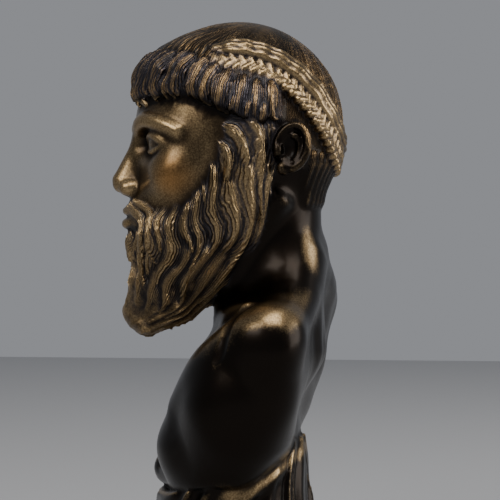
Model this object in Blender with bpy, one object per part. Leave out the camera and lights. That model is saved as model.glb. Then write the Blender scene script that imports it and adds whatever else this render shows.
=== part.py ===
"""Bronze bust of a bearded god of the classical type: one casting, cut flat below.

The figure faces -Y and its own left side is +X. The origin is the middle of the flat underside.
A casting of this kind is carved as clay first, so the form is a block of signed distances: each
muscle, lock and fold is laid on or cut out of it, and its zero surface is the skin of the bronze.
The figure's own forms are counted in parts: the bust is PARTS_TALL parts from underside to crown.
"""
import bmesh
import bpy
import numpy as np
import openvdb

# Driving sizes, in metres
BUST_HEIGHT = 0.164
FOOT_WIDTH = 0.064
FOOT_DEPTH = 0.055
FOOT_HEIGHT = 0.007
FOOT_EDGE_RADIUS = 0.0012
SUPPORT_WIDTH = 0.052
SUPPORT_DEPTH = 0.0385
SUPPORT_FLARE = 0.004
TRIANGLE_BUDGET = 9700

# One part of the figure, in metres
PARTS_TALL = 164.0
PART = BUST_HEIGHT / PARTS_TALL

# The block of clay, in parts
CLAY_LOW = (-46.0, -40.0, -5.0)
CLAY_HIGH = (46.0, 40.0, 168.0)
CLAY_STEP = 0.7
CLAY_FAR = 14.0

# Places on the figure, in parts
HEAD_TURN = np.radians(13.0)
NECK_AXIS = (0.0, 8.0, 0.0)
CAP_CENTRE = np.array((0.0, 2.0, 134.6))
CAP_RADII = np.array((22.6, 28.8, 28.8))
EAR_CENTRE = np.array((22.4, 13.4, 127.2))
EYE_CENTRE = np.array((9.7, -17.4, 128.8))
EYE_RADIUS = 6.4
BEARD_HUB = (-45.0, 109.0)
BEARD_REACH = 35.5
BEARD_WAVE = 19.0
RIDGE_RELIEF = 0.08
PLAIT_BEAD = 3.8

# Layers of the fringe: the root's height over the edge, the length and the half width of its locks
LOCKS_A_SIDE = 11
FRINGE_LAYERS = ((11.5, 13.0, 2.3),)

# Rows of the beard: start and length down from the eyes, locks in a full turn, and their height
BEARD_ROWS = ((-27.0, 27.0, 28, 1.8), (-10.0, 25.0, 22, 2.0), (5.0, 21.0, 16, 2.0), (15.0, 17.0, 11, 1.9),
              (23.0, 14.0, 8, 1.8))
BODY_CUT_FRONT = 33.5
BODY_CUT_BACK = 49.0

# The rounded ends of a swept bar, as a share of its half width
CAP_SHARE = 0.7

BRONZE_COLOUR = (0.115, 0.072, 0.035, 1.0)
BRONZE_METALLIC = 0.9
BRONZE_ROUGHNESS = 0.42


# Small helpers

def unit(vector):
    """The vector at length one."""
    return vector / max(np.linalg.norm(vector), 1e-9)


def ease(value):
    """Smooth step from 0 at 0 to 1 at 1."""
    value = np.clip(value, 0.0, 1.0)
    return value * value * (3.0 - 2.0 * value)


def blended(first, second, softness):
    """Union of two distances with a fillet of about the given softness."""
    share = np.clip(0.5 + 0.5 * (second - first) / softness, 0.0, 1.0)
    return second + (first - second) * share - softness * share * (1.0 - share)


class Pose:
    """A space turned about a vertical axis, such as the head on the neck."""

    def __init__(self, turn, pivot):
        cosine = np.cos(turn)
        sine = np.sin(turn)
        self.matrix = np.array(((cosine, -sine, 0.0), (sine, cosine, 0.0), (0.0, 0.0, 1.0)), np.float32)
        self.pivot = np.array(pivot, np.float32)

    def outward(self, points):
        """Own coordinates to the bust's."""
        return (points - self.pivot) @ self.matrix.T + self.pivot

    def inward(self, points):
        """The bust's coordinates to own ones."""
        return (points - self.pivot) @ self.matrix + self.pivot


BODY = Pose(0.0, (0.0, 0.0, 0.0))
HEAD = Pose(HEAD_TURN, NECK_AXIS)


class Clay:
    """A block of signed distances, negative inside the bronze."""

    def __init__(self, low, high, step):
        self.low = np.array(low)
        self.step = step
        self.count = np.ceil((np.array(high) - self.low) / step).astype(int) + 1
        self.field = np.full(self.count, CLAY_FAR, np.float32)

    def patch(self, pose, low, high, margin):
        """The slices over a box of a pose, and the pose's coordinates of their points."""
        low = np.array(low) - margin
        high = np.array(high) + margin
        corners = np.array([[(low, high)[i][0], (low, high)[j][1], (low, high)[k][2]]
                            for i in (0, 1) for j in (0, 1) for k in (0, 1)])
        corners = (pose.outward(corners) - self.low) / self.step
        first = np.clip(np.floor(corners.min(axis=0)).astype(int), 0, self.count)
        last = np.clip(np.ceil(corners.max(axis=0)).astype(int) + 1, 0, self.count)
        axes = [(self.low[i] + self.step * np.arange(first[i], last[i])).astype(np.float32) for i in range(3)]
        points = np.stack(np.meshgrid(*axes, indexing="ij"), axis=-1)
        return tuple(slice(a, b) for a, b in zip(first, last)), pose.inward(points)

    def measure(self, pose, shape, margin):
        """Distances to a shape over its box: the least of the distances to its pieces."""
        lows, highs = (np.array([piece[i] for piece in shape]) for i in (1, 2))
        if len(shape) == 1:
            where, points = self.patch(pose, lows[0], highs[0], margin)
            return where, shape[0][0](points)
        where, points = self.patch(pose, lows.min(axis=0), highs.max(axis=0), margin)
        found = np.full(points.shape[:-1], 10.0 * CLAY_FAR, np.float32)
        start = [part.start for part in where]
        for distance, low, high in shape:
            inner, points = self.patch(pose, low, high, margin)
            inner = tuple(slice(part.start - s, part.stop - s) for part, s in zip(inner, start))
            found[inner] = np.minimum(found[inner], distance(points))
        return where, found

    def add(self, pose, shape, softness):
        """Lay a shape on, with a fillet."""
        where, found = self.measure(pose, shape, 1.6 * softness + 1.5)
        self.field[where] = blended(self.field[where], found, softness)

    def cut(self, pose, shape, softness):
        """Cut a shape out, with a rounded edge."""
        where, found = self.measure(pose, shape, 1.6 * softness + 1.5)
        self.field[where] = -blended(-self.field[where], found, softness)

    def join(self, other, softness):
        """Lay another block of the same size on."""
        self.field = blended(self.field, other.field, softness)

    def swell(self, pose, height, low, high):
        """Raise the skin by height(points) inside a box."""
        where, points = self.patch(pose, low, high, 0.0)
        self.field[where] -= height(points)

    def depth(self, pose, point):
        """The distance at one point, read between the block's own points."""
        place = (pose.outward(point) - self.low) / self.step
        base = np.clip(np.floor(place).astype(int), 0, self.count - 2)
        share = place - base
        cube = self.field[base[0]:base[0] + 2, base[1]:base[1] + 2, base[2]:base[2] + 2]
        for axis in range(3):
            cube = cube[0] * (1.0 - share[axis]) + cube[1] * share[axis]
        return float(cube)

    def normal(self, pose, point):
        """The skin's outward direction near a point."""
        reach = self.step
        steps = np.eye(3) * reach
        return unit(np.array([self.depth(pose, point + s) - self.depth(pose, point - s) for s in steps]))

    def settle(self, pose, point):
        """The point of the skin nearest to a point that lies close to it."""
        for _ in range(4):
            point = point - self.normal(pose, point) * self.depth(pose, point)
        return point


# Shapes: each is a list of pieces, and a piece is a distance function with the corners of its box

def ellipsoid(centre, radii):
    """An egg, measured along its own X, Y and Z."""
    centre = np.array(centre, np.float32)
    radii = np.array(radii, np.float32)

    def distance(points):
        away = points - centre
        near = np.sqrt(((away / radii) ** 2).sum(axis=-1))
        slope = np.sqrt(((away / radii ** 2) ** 2).sum(axis=-1))
        return near * (near - 1.0) / np.maximum(slope, 1e-6)

    return [(distance, centre - radii, centre + radii)]


def sweep(path, sides, normals, widths, depths, ridges=0.0, relief=0.0):
    """A bar of elliptic section along a path, with ridges that run along it."""
    path, sides, normals = (np.array(v, np.float32) for v in (path, sides, normals))
    widths, depths = (np.broadcast_to(np.array(v, np.float32), len(path)) for v in (widths, depths))
    spans = [slice(i, i + 2) for i in range(len(path) - 1)]
    return [stretch(path[s], sides[s], normals[s], widths[s], depths[s], ridges, relief) for s in spans]


def stretch(ends, sides, normals, widths, depths, ridges, relief):
    """One straight stretch of a swept bar."""
    axis = ends[1] - ends[0]
    length = max(float(np.linalg.norm(axis)), 1e-3)
    reach = max(widths.max(), depths.max()) + relief

    def distance(points):
        away = points - ends[0]
        share = np.clip(away @ axis / length ** 2, 0.0, 1.0)
        width = widths[0] + (widths[1] - widths[0]) * share
        thick = depths[0] + (depths[1] - depths[0]) * share
        end = (away @ axis) / length - share * length
        side, rise = (((away @ pair[0]) - (axis @ pair[0]) * share) * (1.0 - share)
                      + ((away @ pair[1]) - (axis @ pair[1]) * share) * share for pair in (sides, normals))
        cap = CAP_SHARE * width
        near = np.sqrt((side / width) ** 2 + (rise / thick) ** 2 + (end / cap) ** 2)
        slope = np.sqrt((side / width ** 2) ** 2 + (rise / thick ** 2) ** 2 + (end / cap ** 2) ** 2)
        found = near * (near - 1.0) / np.maximum(slope, 1e-6)
        if ridges:
            found = found - relief * np.cos(np.pi * ridges * side / width)
        return found

    return distance, ends.min(axis=0) - reach, ends.max(axis=0) + reach


def cord(path, radii):
    """A round bar along a path."""
    sides, normals = frames(path, np.array((0.3, 0.9, 0.1)))
    return sweep(path, sides, normals, radii, radii)


def frames(path, upward):
    """Side and normal vectors along a path, the normals as near to upward as they can be."""
    path = np.array(path, float)
    tangents = np.gradient(path, axis=0)
    upward = np.broadcast_to(upward, path.shape)
    sides = np.array([unit(np.cross(t, u)) for t, u in zip(tangents, upward)])
    normals = np.array([unit(np.cross(s, t)) for s, t in zip(sides, tangents)])
    return sides, normals


def bend(start, middle, end, count):
    """Points on the arc-like curve from start to end that passes middle halfway."""
    start, middle, end = (np.array(p, float) for p in (start, middle, end))
    handle = 2.0 * middle - 0.5 * (start + end)
    shares = np.linspace(0.0, 1.0, count)[:, None]
    return (1 - shares) ** 2 * start + 2 * shares * (1 - shares) * handle + shares ** 2 * end


def mirrored(point, side):
    """The point on the figure's left for side 1, or its twin on the right for side -1."""
    return np.array(point) * np.array((side, 1.0, 1.0))


# Forms that follow the skin

def twin(side, *points):
    """The smooth curve through three points on the figure's left, or its twin on the right."""
    return bend(*(mirrored(point, side) for point in points), 9)


def on_skin(clay, pose, path):
    """A path laid on the skin, with the skin's outward directions."""
    points = np.array([clay.settle(pose, point) for point in path])
    return points, np.array([clay.normal(pose, point) for point in points])


def furrow(clay, pose, path, width, depth, softness):
    """Cut a shallow furrow along a path on the skin."""
    points, normals = on_skin(clay, pose, path)
    sides, upright = frames(points, normals)
    clay.cut(pose, sweep(points, sides, upright, width, depth), softness)


def comb(clay, root, flow, length, steps):
    """Walk over the head's skin from a root along a flow, and give the path and its normals."""
    point = clay.settle(HEAD, np.array(root, float))
    path = []
    normals = []
    for i in range(steps + 1):
        normal = clay.normal(HEAD, point)
        path.append(point)
        normals.append(normal)
        heading = flow(point, normal, i / steps)
        heading = unit(heading - normal * (heading @ normal))
        point = clay.settle(HEAD, point + heading * length / steps)
    return np.array(path), np.array(normals)


def swirled(heading, normal, angle):
    """A heading turned about the skin's normal."""
    return heading * np.cos(angle) + np.cross(normal, heading) * np.sin(angle)


def lock(path, normals, width, depth, lift, ridges, relief):
    """A lock of hair: sunk at its root, full in the middle and drawn to a lifted point."""
    shares = np.linspace(0.0, 1.0, len(path))
    taper = np.minimum(1.0, 0.45 + 2.4 * shares) * (1.0 - 0.85 * ease((shares - 0.45) / 0.6))
    widths = width * taper
    depths = depth * np.minimum(1.0, 0.5 + 2.0 * shares) * (1.0 - 0.6 * ease((shares - 0.5) / 0.6))
    raised = path + normals * (lift * np.minimum(1.0, 0.2 + 2.0 * shares))[:, None]
    sides, upright = frames(raised, normals)
    return sweep(raised, sides, upright, widths, depths, ridges, relief)


# The torso

def shape_torso(clay):
    """Chest, shoulders, back and neck, the right shoulder raised and drawn back."""
    clay.add(BODY, ellipsoid((0.0, 0.5, 45.0), (31.0, 18.6, 33.0)), 1.0)
    clay.add(BODY, ellipsoid((0.0, 9.4, 72.0), (34.0, 13.4, 18.0)), 5.0)
    for side, back, up in ((1, 0.0, 0.0), (-1, 3.0, 5.0)):
        clay.add(BODY, ellipsoid((20.5 * side, 4.4 + back / 2, 58.4 + up), (18.0, 15.6, 21.0)), 4.5)
        clay.add(BODY, ellipsoid((30.5 * side, 13.0 + back, 75.0 + 1.4 * up), (9.5, 9.8, 10.5)), 3.5)
        band = bend((30.0 * side, 9.0 + back, 77.0 + up), (26.0 * side, -0.5 + back, 70.0 + up),
                    (16.0 * side, -9.0, 57.0 + up / 2), 7)
        clay.add(BODY, cord(band, [6.0, 6.0, 5.6, 5.4, 5.4, 5.6, 6.0]), 4.0)
    clay.add(BODY, ellipsoid((-8.0, -6.6, 38.0), (16.0, 17.0, 9.0)), 4.0)
    shape_neck(clay)
    shape_back(clay)
    shape_chest(clay)


def shape_neck(clay):
    """The neck with its front muscles, and the slopes to the shoulders."""
    nape = bend((0, 11.5, 72.0), (0, 10.6, 92.0), (0, 10.4, 118.0), 6)
    clay.add(BODY, cord(nape, [16, 15.4, 14.9, 14.5, 14.4, 14.2]), 4.0)
    lowered = bend((5, 17, 96), (16, 17.4, 85), (29, 15.4, 79), 6)
    clay.add(BODY, cord(lowered, [9, 8.4, 7.8, 7.2, 6.8, 6.4]), 5.0)
    raised = bend((-5, 17, 98), (-15, 19.5, 90.5), (-29, 19.5, 87), 6)
    clay.add(BODY, cord(raised, [9, 8.6, 8.4, 8.2, 7.8, 7.4]), 5.0)
    for side in (-1, 1):
        muscle = twin(side, (14.0, 14.0, 114.0), (10.5, 3.4, 98.0), (2.5, -2.4, 82.0))
        clay.add(BODY, cord(muscle, np.linspace(4.0, 2.4, 9)), 3.0)


def shape_back(clay):
    """Shoulder blades on either side of the groove of the spine."""
    clay.add(BODY, ellipsoid((18.0, 15.4, 72.0), (11.5, 7.5, 14.0)), 3.5)
    clay.add(BODY, ellipsoid((-18.0, 17.4, 82.0), (12.0, 8.5, 14.0)), 3.5)
    spine = bend((0, 31.0, 92.0), (0, 30.5, 70.0), (0, 25.0, 46.0), 6)
    clay.cut(BODY, cord(spine, [2, 4, 5.4, 5.6, 4.8, 3.5]), 5.0)


def shape_chest(clay):
    """Collar bones, breast muscles and the furrow between them."""
    for side, back, up in ((1, 0.0, 0.0), (-1, 3.0, 4.0)):
        collar = twin(side, (3.5, -0.6, 79.5), (15.0, 1.6, 81.5 + up / 2), (28.0, 8.0 + back, 84.0 + up))
        clay.add(BODY, cord(collar, np.linspace(1.7, 2.1, 9)), 3.0)
        breast = mirrored((12.5, -7.0 - 0.7 * back, 46.5 - up / 2), side)
        clay.add(BODY, ellipsoid(breast, (13.0, 12.0, 11.5)), 4.0)
        groove = twin(side, (30.5, 9.0 + back, 85.0 + up), (31.0, 4.0 + back, 80.5 + up),
                      (29.0, -1.5 + back, 74.5 + up))
        fading = np.sin(np.linspace(0.5, np.pi - 0.5, 9))
        furrow(clay, BODY, groove, 1.1 * fading, 0.6 * fading, 1.0)
    middle = bend((0, -11.0, 70), (0, -20.6, 56), (0, -22.0, 40), 6)
    clay.cut(BODY, cord(middle, [1.0, 1.4, 1.6, 1.6, 1.6, 1.6]), 3.0)
    clay.cut(BODY, ellipsoid((0, -5.0, 82.5), (2.6, 3.0, 2.6)), 2.5)


def body_cut(x, y):
    """Height of the body's lower edge: lowest at the chest, higher at the sides and the back."""
    return BODY_CUT_FRONT + 6.0 * (x / 36.0) ** 2 + (BODY_CUT_BACK - BODY_CUT_FRONT) * ease((y - 4.0) / 22.0)


def trim_torso(clay):
    """The arms are cut off smooth and convex, and the body ends in a curved, rounded edge."""
    arms = ellipsoid((0.0, 10.0, 70.0), (40.5, 52.0, 66.0))[0][0]
    where, points = clay.patch(BODY, (-46, -40, 20), (46, 40, 104), 0.0)
    belly = (body_cut(points[..., 0], points[..., 1]) - points[..., 2]) * 0.85
    kept = -blended(-clay.field[where], -arms(points), 2.5)
    clay.field[where] = -blended(-kept, -belly, 1.6)


# The support and its drapery

def support_radii(height):
    """Half width and half depth of the support at a height, in parts: it flares to the foot."""
    flare = SUPPORT_FLARE / PART * (1.0 - ease(height / 52.0))
    return SUPPORT_WIDTH / PART / 2 + flare, SUPPORT_DEPTH / PART / 2 + flare


def oval(width, depth, low, high, rounding):
    """An upright oval block of changing radii, its edges rounded."""
    def distance(points):
        wide, deep = (value(points[..., 2]) for value in (width, depth))
        near = np.sqrt((points[..., 0] / wide) ** 2 + (points[..., 1] / deep) ** 2)
        slope = np.sqrt((points[..., 0] / wide ** 2) ** 2 + (points[..., 1] / deep ** 2) ** 2)
        round_wall = near * (near - 1.0) / np.maximum(slope, 1e-6)
        level = np.maximum(points[..., 2] - high, low - points[..., 2])
        return -blended(-round_wall, -level, rounding)

    reach = np.array((width(low), depth(low)))
    return [(distance, np.array((-reach[0], -reach[1], low)), np.array((reach[0], reach[1], high)))]


def shape_support(clay):
    """The draped support under the body and the plain foot it stands on."""
    support = Clay(CLAY_LOW, CLAY_HIGH, clay.step)
    core = oval(lambda z: support_radii(z)[0], lambda z: support_radii(z)[1], -6.0, 52.0, 2.0)
    support.add(BODY, core, 1.5)
    support.swell(BODY, fold_height, (-34, -30, 4), (34, 30, 56))
    where, points = support.patch(BODY, (-40, -34, 25), (40, 34, 60), 0.0)
    overlap = 3.0 * ease((points[..., 1] + 8.0) / 20.0)
    above = points[..., 2] - body_cut(points[..., 0], points[..., 1]) - overlap
    support.field[where] = -blended(-support.field[where], -above, 1.5)
    clay.join(support, 0.8)
    for side in (-1, 1):
        turn = np.radians(np.linspace(30.0, 112.0, 16))
        wide, deep = support_radii(44.0)
        inward = np.interp(np.linspace(0, 1, 16), (0, 0.2, 0.75, 1), (2.0, 0.0, 0.0, 3.0))
        x, y = side * (wide + 0.6 - inward) * np.sin(turn), (deep + 0.4 - inward) * np.cos(turn)
        roll = np.stack([x, y, body_cut(x, y) - 0.4 - 1.0 * np.sin(turn)], axis=1)
        sides, upright = frames(roll, np.stack([side * np.sin(turn), np.cos(turn), 0 * turn], axis=1))
        radii = np.interp(np.linspace(0, 1, 16), (0, 0.3, 0.75, 1), (1.4, 2.0, 1.9, 1.2))
        clay.add(BODY, sweep(roll, sides, upright, radii, radii), 2.0)
    wide = FOOT_WIDTH / PART / 2
    deep = FOOT_DEPTH / PART / 2
    foot = oval(lambda z: wide, lambda z: deep, -6.0, FOOT_HEIGHT / PART, FOOT_EDGE_RADIUS / PART)
    clay.add(BODY, foot, 1.0)


def fold_height(points):
    """Folds of a mantle that fan out from the back, fine behind and broad at the sides."""
    turn = np.degrees(np.arctan2(np.abs(points[..., 0]), points[..., 1] * 1.2))
    fall = np.maximum(BODY_CUT_BACK + 3.0 - points[..., 2], 0.0)
    lane = turn / (1.0 + 0.034 * fall) + 1.5 * np.sin(0.16 * fall + 0.09 * turn)
    broad = 0.5 + 0.5 * np.cos(2.0 * np.pi * (lane / 15.0 + 0.1 * np.sin(lane * 0.21)) + 0.6)
    fine = 0.5 + 0.5 * np.cos(2.0 * np.pi * (lane / 5.2 + 0.2 * np.sin(lane * 0.33)))
    behind = 1.0 - ease((lane - 26.0) / 16.0)
    before = 1.0 - 0.8 * ease((turn - 104.0) / 30.0)
    foot = ease((points[..., 2] - FOOT_HEIGHT / PART) / 3.0)
    sides = before * (1.0 - 0.6 * behind) * 2.2 * broad ** 1.5
    return foot * (sides + behind * ease(fall / 12.0) * (0.4 + 0.8 * fine))


# The head

def shape_skull(clay):
    """Cranium, cheeks, jaw and the block of the face."""
    clay.add(HEAD, ellipsoid(CAP_CENTRE, CAP_RADII), 3.0)
    clay.add(HEAD, ellipsoid((0, -7.5, 127.0), (20.0, 19.0, 20.0)), 4.0)
    clay.add(HEAD, ellipsoid((0, -12.0, 111.0), (15.5, 16.0, 14.0)), 6.0)
    clay.add(HEAD, ellipsoid((0, -18.8, 104.5), (9.0, 6.6, 6.8)), 5.0)
    for side in (-1, 1):
        clay.add(HEAD, ellipsoid(mirrored((12.8, -16.0, 120.5), side), (6.6, 7.0, 6.5)), 5.0)


def lid(side, lift, radius, count):
    """The edge of a lid over the ball of the eye, from the inner to the outer corner."""
    shares = np.linspace(0.0, 1.0, count)
    turn = np.radians(-38.0 + 112.0 * shares)
    rise = np.radians(lift * np.sin(np.pi * shares ** 0.85) - 3.0)
    away = np.stack([side * np.sin(turn) * np.cos(rise), -np.cos(turn) * np.cos(rise), np.sin(rise)], axis=1)
    return mirrored(EYE_CENTRE, side) + radius * away, away


def shape_eyes(clay):
    """Sockets, brows, and eyes with their lids, all on the usual thirds and fifths of a head."""
    for side in (-1, 1):
        clay.cut(HEAD, ellipsoid(mirrored((11.0, -26.6, 128.9), side), (8.2, 5.4, 4.6)), 2.6)
        brow = twin(side, (2.2, -25.8, 132.2), (10.5, -24.6, 135.0), (18.4, -16.6, 131.6))
        clay.add(HEAD, cord(brow, [1.3, 1.6, 1.8, 1.8, 1.8, 1.8, 1.7, 1.5, 1.2]), 2.4)
        clay.add(HEAD, ellipsoid(mirrored(EYE_CENTRE, side), (EYE_RADIUS, EYE_RADIUS, EYE_RADIUS)), 0.5)
        lids = ((30.0, 6.5, 1.5, 0.55), (21.0, 6.7, 0.62, 0.62), (-19.0, 6.6, 0.55, 0.55))
        for lift, radius, width, thick in lids:
            edge, normals = lid(side, lift, radius, 12)
            sides, upright = frames(edge, normals)
            clay.add(HEAD, sweep(edge, sides, upright, width, thick), 0.35)


def shape_nose(clay):
    """A straight nose that runs on from the brow, with soft wings."""
    bridge = bend((0, -23.4, 133.0), (0, -25.9, 125.4), (0, -28.0, 118.6), 6)
    sides, upright = frames(bridge, np.array((0.0, -1.0, 0.2)))
    clay.add(HEAD, sweep(bridge, sides, upright, np.linspace(2.0, 3.1, 6), np.linspace(2.6, 5.4, 6)), 2.4)
    clay.add(HEAD, ellipsoid((0, -30.9, 118.0), (2.8, 2.3, 2.2)), 1.8)
    for side in (-1, 1):
        clay.add(HEAD, ellipsoid(mirrored((3.2, -28.6, 117.0), side), (1.9, 3.0, 2.1)), 1.2)
        clay.cut(HEAD, ellipsoid(mirrored((1.9, -29.6, 114.6), side), (0.9, 1.6, 1.2)), 0.5)


def shape_mouth(clay):
    """Closed, calm lips."""
    clay.add(HEAD, ellipsoid((0, -23.4, 109.6), (8.6, 5.6, 6.8)), 3.0)
    upper = bend((-6.0, -26.4, 109.7), (0, -29.6, 110.9), (6.0, -26.4, 109.7), 9)
    lower = bend((-5.2, -26.6, 108.4), (0, -29.4, 107.3), (5.2, -26.6, 108.4), 9)
    clay.add(HEAD, cord(upper, [0.5, 0.8, 1.0, 1.1, 1.0, 1.1, 1.0, 0.8, 0.5]), 0.5)
    clay.add(HEAD, cord(lower, [0.5, 0.9, 1.2, 1.4, 1.45, 1.4, 1.2, 0.9, 0.5]), 0.5)


def shape_ears(clay):
    """Ears with a rolled rim, an inner fold, a bowl and a lobe."""
    for side in (-1, 1):
        centre = mirrored(EAR_CENTRE, side)
        out = mirrored((1.0, 0.0, 0.0), side)
        back = np.array((0.0, 1.0, 0.0))
        up = np.array((0.0, 0.12, 1.0))
        clay.add(HEAD, ellipsoid(centre - out * 1.0, (2.8, 4.5, 6.3)), 1.0)
        clay.cut(HEAD, ellipsoid(centre + out * 2.4 - back * 0.6 - up * 0.4, (2.3, 2.6, 4.0)), 0.6)
        turn = np.radians(np.linspace(200.0, -80.0, 18))[:, None]
        rim = centre + out * (1.2 + 0.9 * np.cos(turn)) + back * 4.1 * np.cos(turn) + up * 5.8 * np.sin(turn)
        sides, upright = frames(rim, out)
        radii = np.linspace(0.85, 1.2, 18)
        clay.add(HEAD, sweep(rim, sides, upright, radii, radii), 0.5)
        turn = np.radians(np.linspace(100.0, -70.0, 11))[:, None]
        inner = centre + out * 1.3 + back * (0.4 + 1.9 * np.cos(turn)) + up * (-0.4 + 3.4 * np.sin(turn))
        sides, upright = frames(inner, out)
        clay.add(HEAD, sweep(inner, sides, upright, 0.75, 0.75), 0.6)
        clay.add(HEAD, ellipsoid(centre + out * 0.8 - back * 1.4 - up * 5.6, (1.5, 1.9, 2.0)), 1.2)
        clay.add(HEAD, ellipsoid(centre + out * 0.9 - back * 3.6 - up * 0.8, (1.1, 1.1, 1.7)), 0.7)


# The hair of the head

def band_height(y):
    """Height of the plaits' upper strand over the head's length."""
    return 153.6 - 0.00237 * np.maximum(y + 5.5, 0.0) ** 2.6


def fringe_edge(y):
    """Height of the fringe's lower edge: it drops from the forehead to the temples."""
    return 133.2 + 7.8 * (1.0 - ease((y + 17.0) / 24.0))


def shape_fringe(clay):
    """The thick roll of hair over forehead and temples that carries the fringe's locks."""
    def height(points):
        y, z = points[..., 1], points[..., 2]
        under = ease((z - fringe_edge(y)) / 2.5)
        over = 1.0 - ease((z - fringe_edge(y) - 8.0) / 14.0)
        before_ear = 1.0 - ease((y - 8.5) / 4.0)
        thick = 1.2 + 1.2 * ease((y + 26.0) / 16.0)
        brow = 2.4 * ease((-2.0 - y) / 12.0) * ease((z - 141.0) / 8.0) * (1.0 - ease((z - 154.0) / 9.0))
        return np.maximum(thick * under * over * before_ear, brow)

    clay.swell(HEAD, height, (-30, -34, 127), (30, 12, 168))


def cap_loop(start, end, count):
    """Points along the plaits' upper strand, by the angle round the head from the face."""
    turn = np.radians(np.linspace(start, end, count))
    height = np.full(count, 150.0)
    for _ in range(30):
        share = np.sqrt(np.maximum(1.0 - ((height - CAP_CENTRE[2]) / CAP_RADII[2]) ** 2, 0.01))
        y = CAP_CENTRE[1] - CAP_RADII[1] * share * np.cos(turn)
        height = 0.5 * height + 0.5 * band_height(y)
    x = CAP_RADII[0] * share * np.sin(turn)
    points = np.stack([x, y, height], axis=1)
    normals = np.array([unit(p) for p in (points - CAP_CENTRE) / CAP_RADII ** 2])
    return points, normals


def plait_band(clay):
    """Two strands round the head: a smooth one above and a beaded plait below it."""
    count = 70
    points, normals = cap_loop(58.0, 302.0, count)
    sides, upright = frames(points, normals)
    ends = np.minimum(np.arange(count), np.arange(count)[::-1])
    taper = np.minimum(1.0, ends / 9.0 + 0.2)
    flatter = 1.0 - 0.45 * ease((points[:, 1] - 18.0) / 12.0)
    raised = points + normals * ((1.5 * taper - 0.7) * flatter)[:, None]
    clay.add(HEAD, sweep(raised, sides, upright, 2.6 * taper, 1.9 * taper * flatter, 4.0, 0.14), 0.4)
    downward = np.sign(points[count // 2][2] - (points + sides)[count // 2][2])
    lower = points + sides * 4.7 * downward - normals * 0.3
    lengths = np.concatenate([[0.0], np.cumsum(np.linalg.norm(np.diff(lower, axis=0), axis=1))])
    beads = int(lengths[-1] / PLAIT_BEAD)
    for i in range(1, beads - 1):
        place = (i + 0.5) * lengths[-1] / beads
        at, normal, side = (np.array([np.interp(place, lengths, source[:, k]) for k in range(3)])
                            for source in (lower, normals, sides))
        along = unit(np.cross(side, normal))
        for row in (-1, 1):
            slant = unit(side * row + along * 0.8)
            middle = at + side * row * 1.15 + along * (0.24 * PLAIT_BEAD * row) + normal * 0.3
            bead = np.array([middle - slant, middle + slant])
            across = np.cross(slant, normal)
            clay.add(HEAD, sweep(bead, [across] * 2, [normal] * 2, 0.45 * PLAIT_BEAD, 1.5), 0.25)


def nape_hair(clay):
    """The rolled hair under the plaits, and the short hair combed down the nape."""
    def height(points):
        x, y, z = points[..., 0], points[..., 1] - 6.0, points[..., 2]
        angle = np.arctan2(x, y)
        behind = ease((y - 10.0) / 4.0)
        short = ease((z - 110.5) / 3.0) * (1.0 - ease((z - 123.0) / 2.0))
        return behind * short * (0.9 + 0.3 * np.cos(38 * angle + 0.25 * z))

    clay.swell(HEAD, height, (-26, 12, 108), (26, 36, 126))
    turn = np.radians(np.linspace(112.0, 248.0, 40))
    share = 0.87
    x = CAP_RADII[0] * share * np.sin(turn)
    y = CAP_CENTRE[1] - CAP_RADII[1] * share * np.cos(turn)
    points = np.stack([x, y, 125.6 + 1.2 * np.cos(turn)], axis=1)
    normals = np.array([unit(p) for p in (points - CAP_CENTRE) / CAP_RADII ** 2])
    sides, upright = frames(points, normals)
    clay.add(HEAD, sweep(points, sides, upright, 2.6, 2.1), 0.8)
    for i in range(2, 38, 2):
        roll = np.array([points[i] - sides[i] * 1.9, points[i] + sides[i] * 1.9]) + normals[i] * 1.0
        along = np.cross(sides[i], normals[i])
        clay.add(HEAD, sweep(roll, [along] * 2, [normals[i]] * 2, 1.3, 1.5), 0.3)
    for side in (-1, 1):
        path = twin(side, (21.2, 19.6, 134.6), (21.8, 21.2, 129.8), (20.0, 20.6, 124.0))
        clay.add(HEAD, cord(path, [0.6, 1.0, 1.3, 1.5, 1.5, 1.5, 1.3, 1.0, 0.6]), 0.5)


def lay_fringe(clay, skin, wander):
    """A layer of curved locks that fall over the roll and hook at their points, and short ones between."""
    spacing = 104.0 / LOCKS_A_SIDE
    for row, (rise, reach, half) in enumerate(FRINGE_LAYERS):
        for side in (-1, 1):
            for i in range(LOCKS_A_SIDE):
                angle = np.radians(3.0 + spacing * (i + 0.5 * (row % 2)))
                y = CAP_CENTRE[1] - 26.0 * np.cos(angle)
                shorter = 1.0 - 0.3 * i / LOCKS_A_SIDE
                top = fringe_edge(y) + rise * shorter + wander.uniform(-0.8, 0.8)
                root = (side * 22.5 * np.sin(angle), y, top)
                hook = wander.uniform(0.5, 0.9)
                ahead = 0.9 - 0.7 * i / LOCKS_A_SIDE

                def flow(point, normal, share, side=side, hook=hook, ahead=ahead):
                    forward = np.array((-0.3 * side, -1.0, 0.0)) * ahead * (1.0 - share)
                    heading = unit(forward + np.array((0.0, 0.0, -1.0)))
                    return swirled(heading, normal, side * hook * ease(share * 2.0 - 1.0))

                path, normals = comb(skin, root, flow, reach * shorter * wander.uniform(0.95, 1.1), 11)
                width = half * wander.uniform(0.9, 1.1)
                clay.add(HEAD, lock(path, normals, width, 1.5, 0.3, 2.0, RIDGE_RELIEF), 0.3)


# The beard

def cheek_line(share, side):
    """The beard's upper edge, from the sideburn at 0 to the corner of the mouth at 1."""
    edge = bend((21.0, 1.5, 134.0), (18.8, -7.0, 116.0), (9.5, -23.5, 110.5), 41)
    return mirrored(edge[int(round(share * 40))], side)


def jaw_line(share, side):
    """The beard's rear edge, from the sideburn at 0 to under the jaw at 1."""
    edge = bend((21.4, 6.0, 133.5), (19.8, 6.5, 113.0), (12.5, -4.0, 96.0), 41)
    return mirrored(edge[int(round(share * 40))], side)


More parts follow.
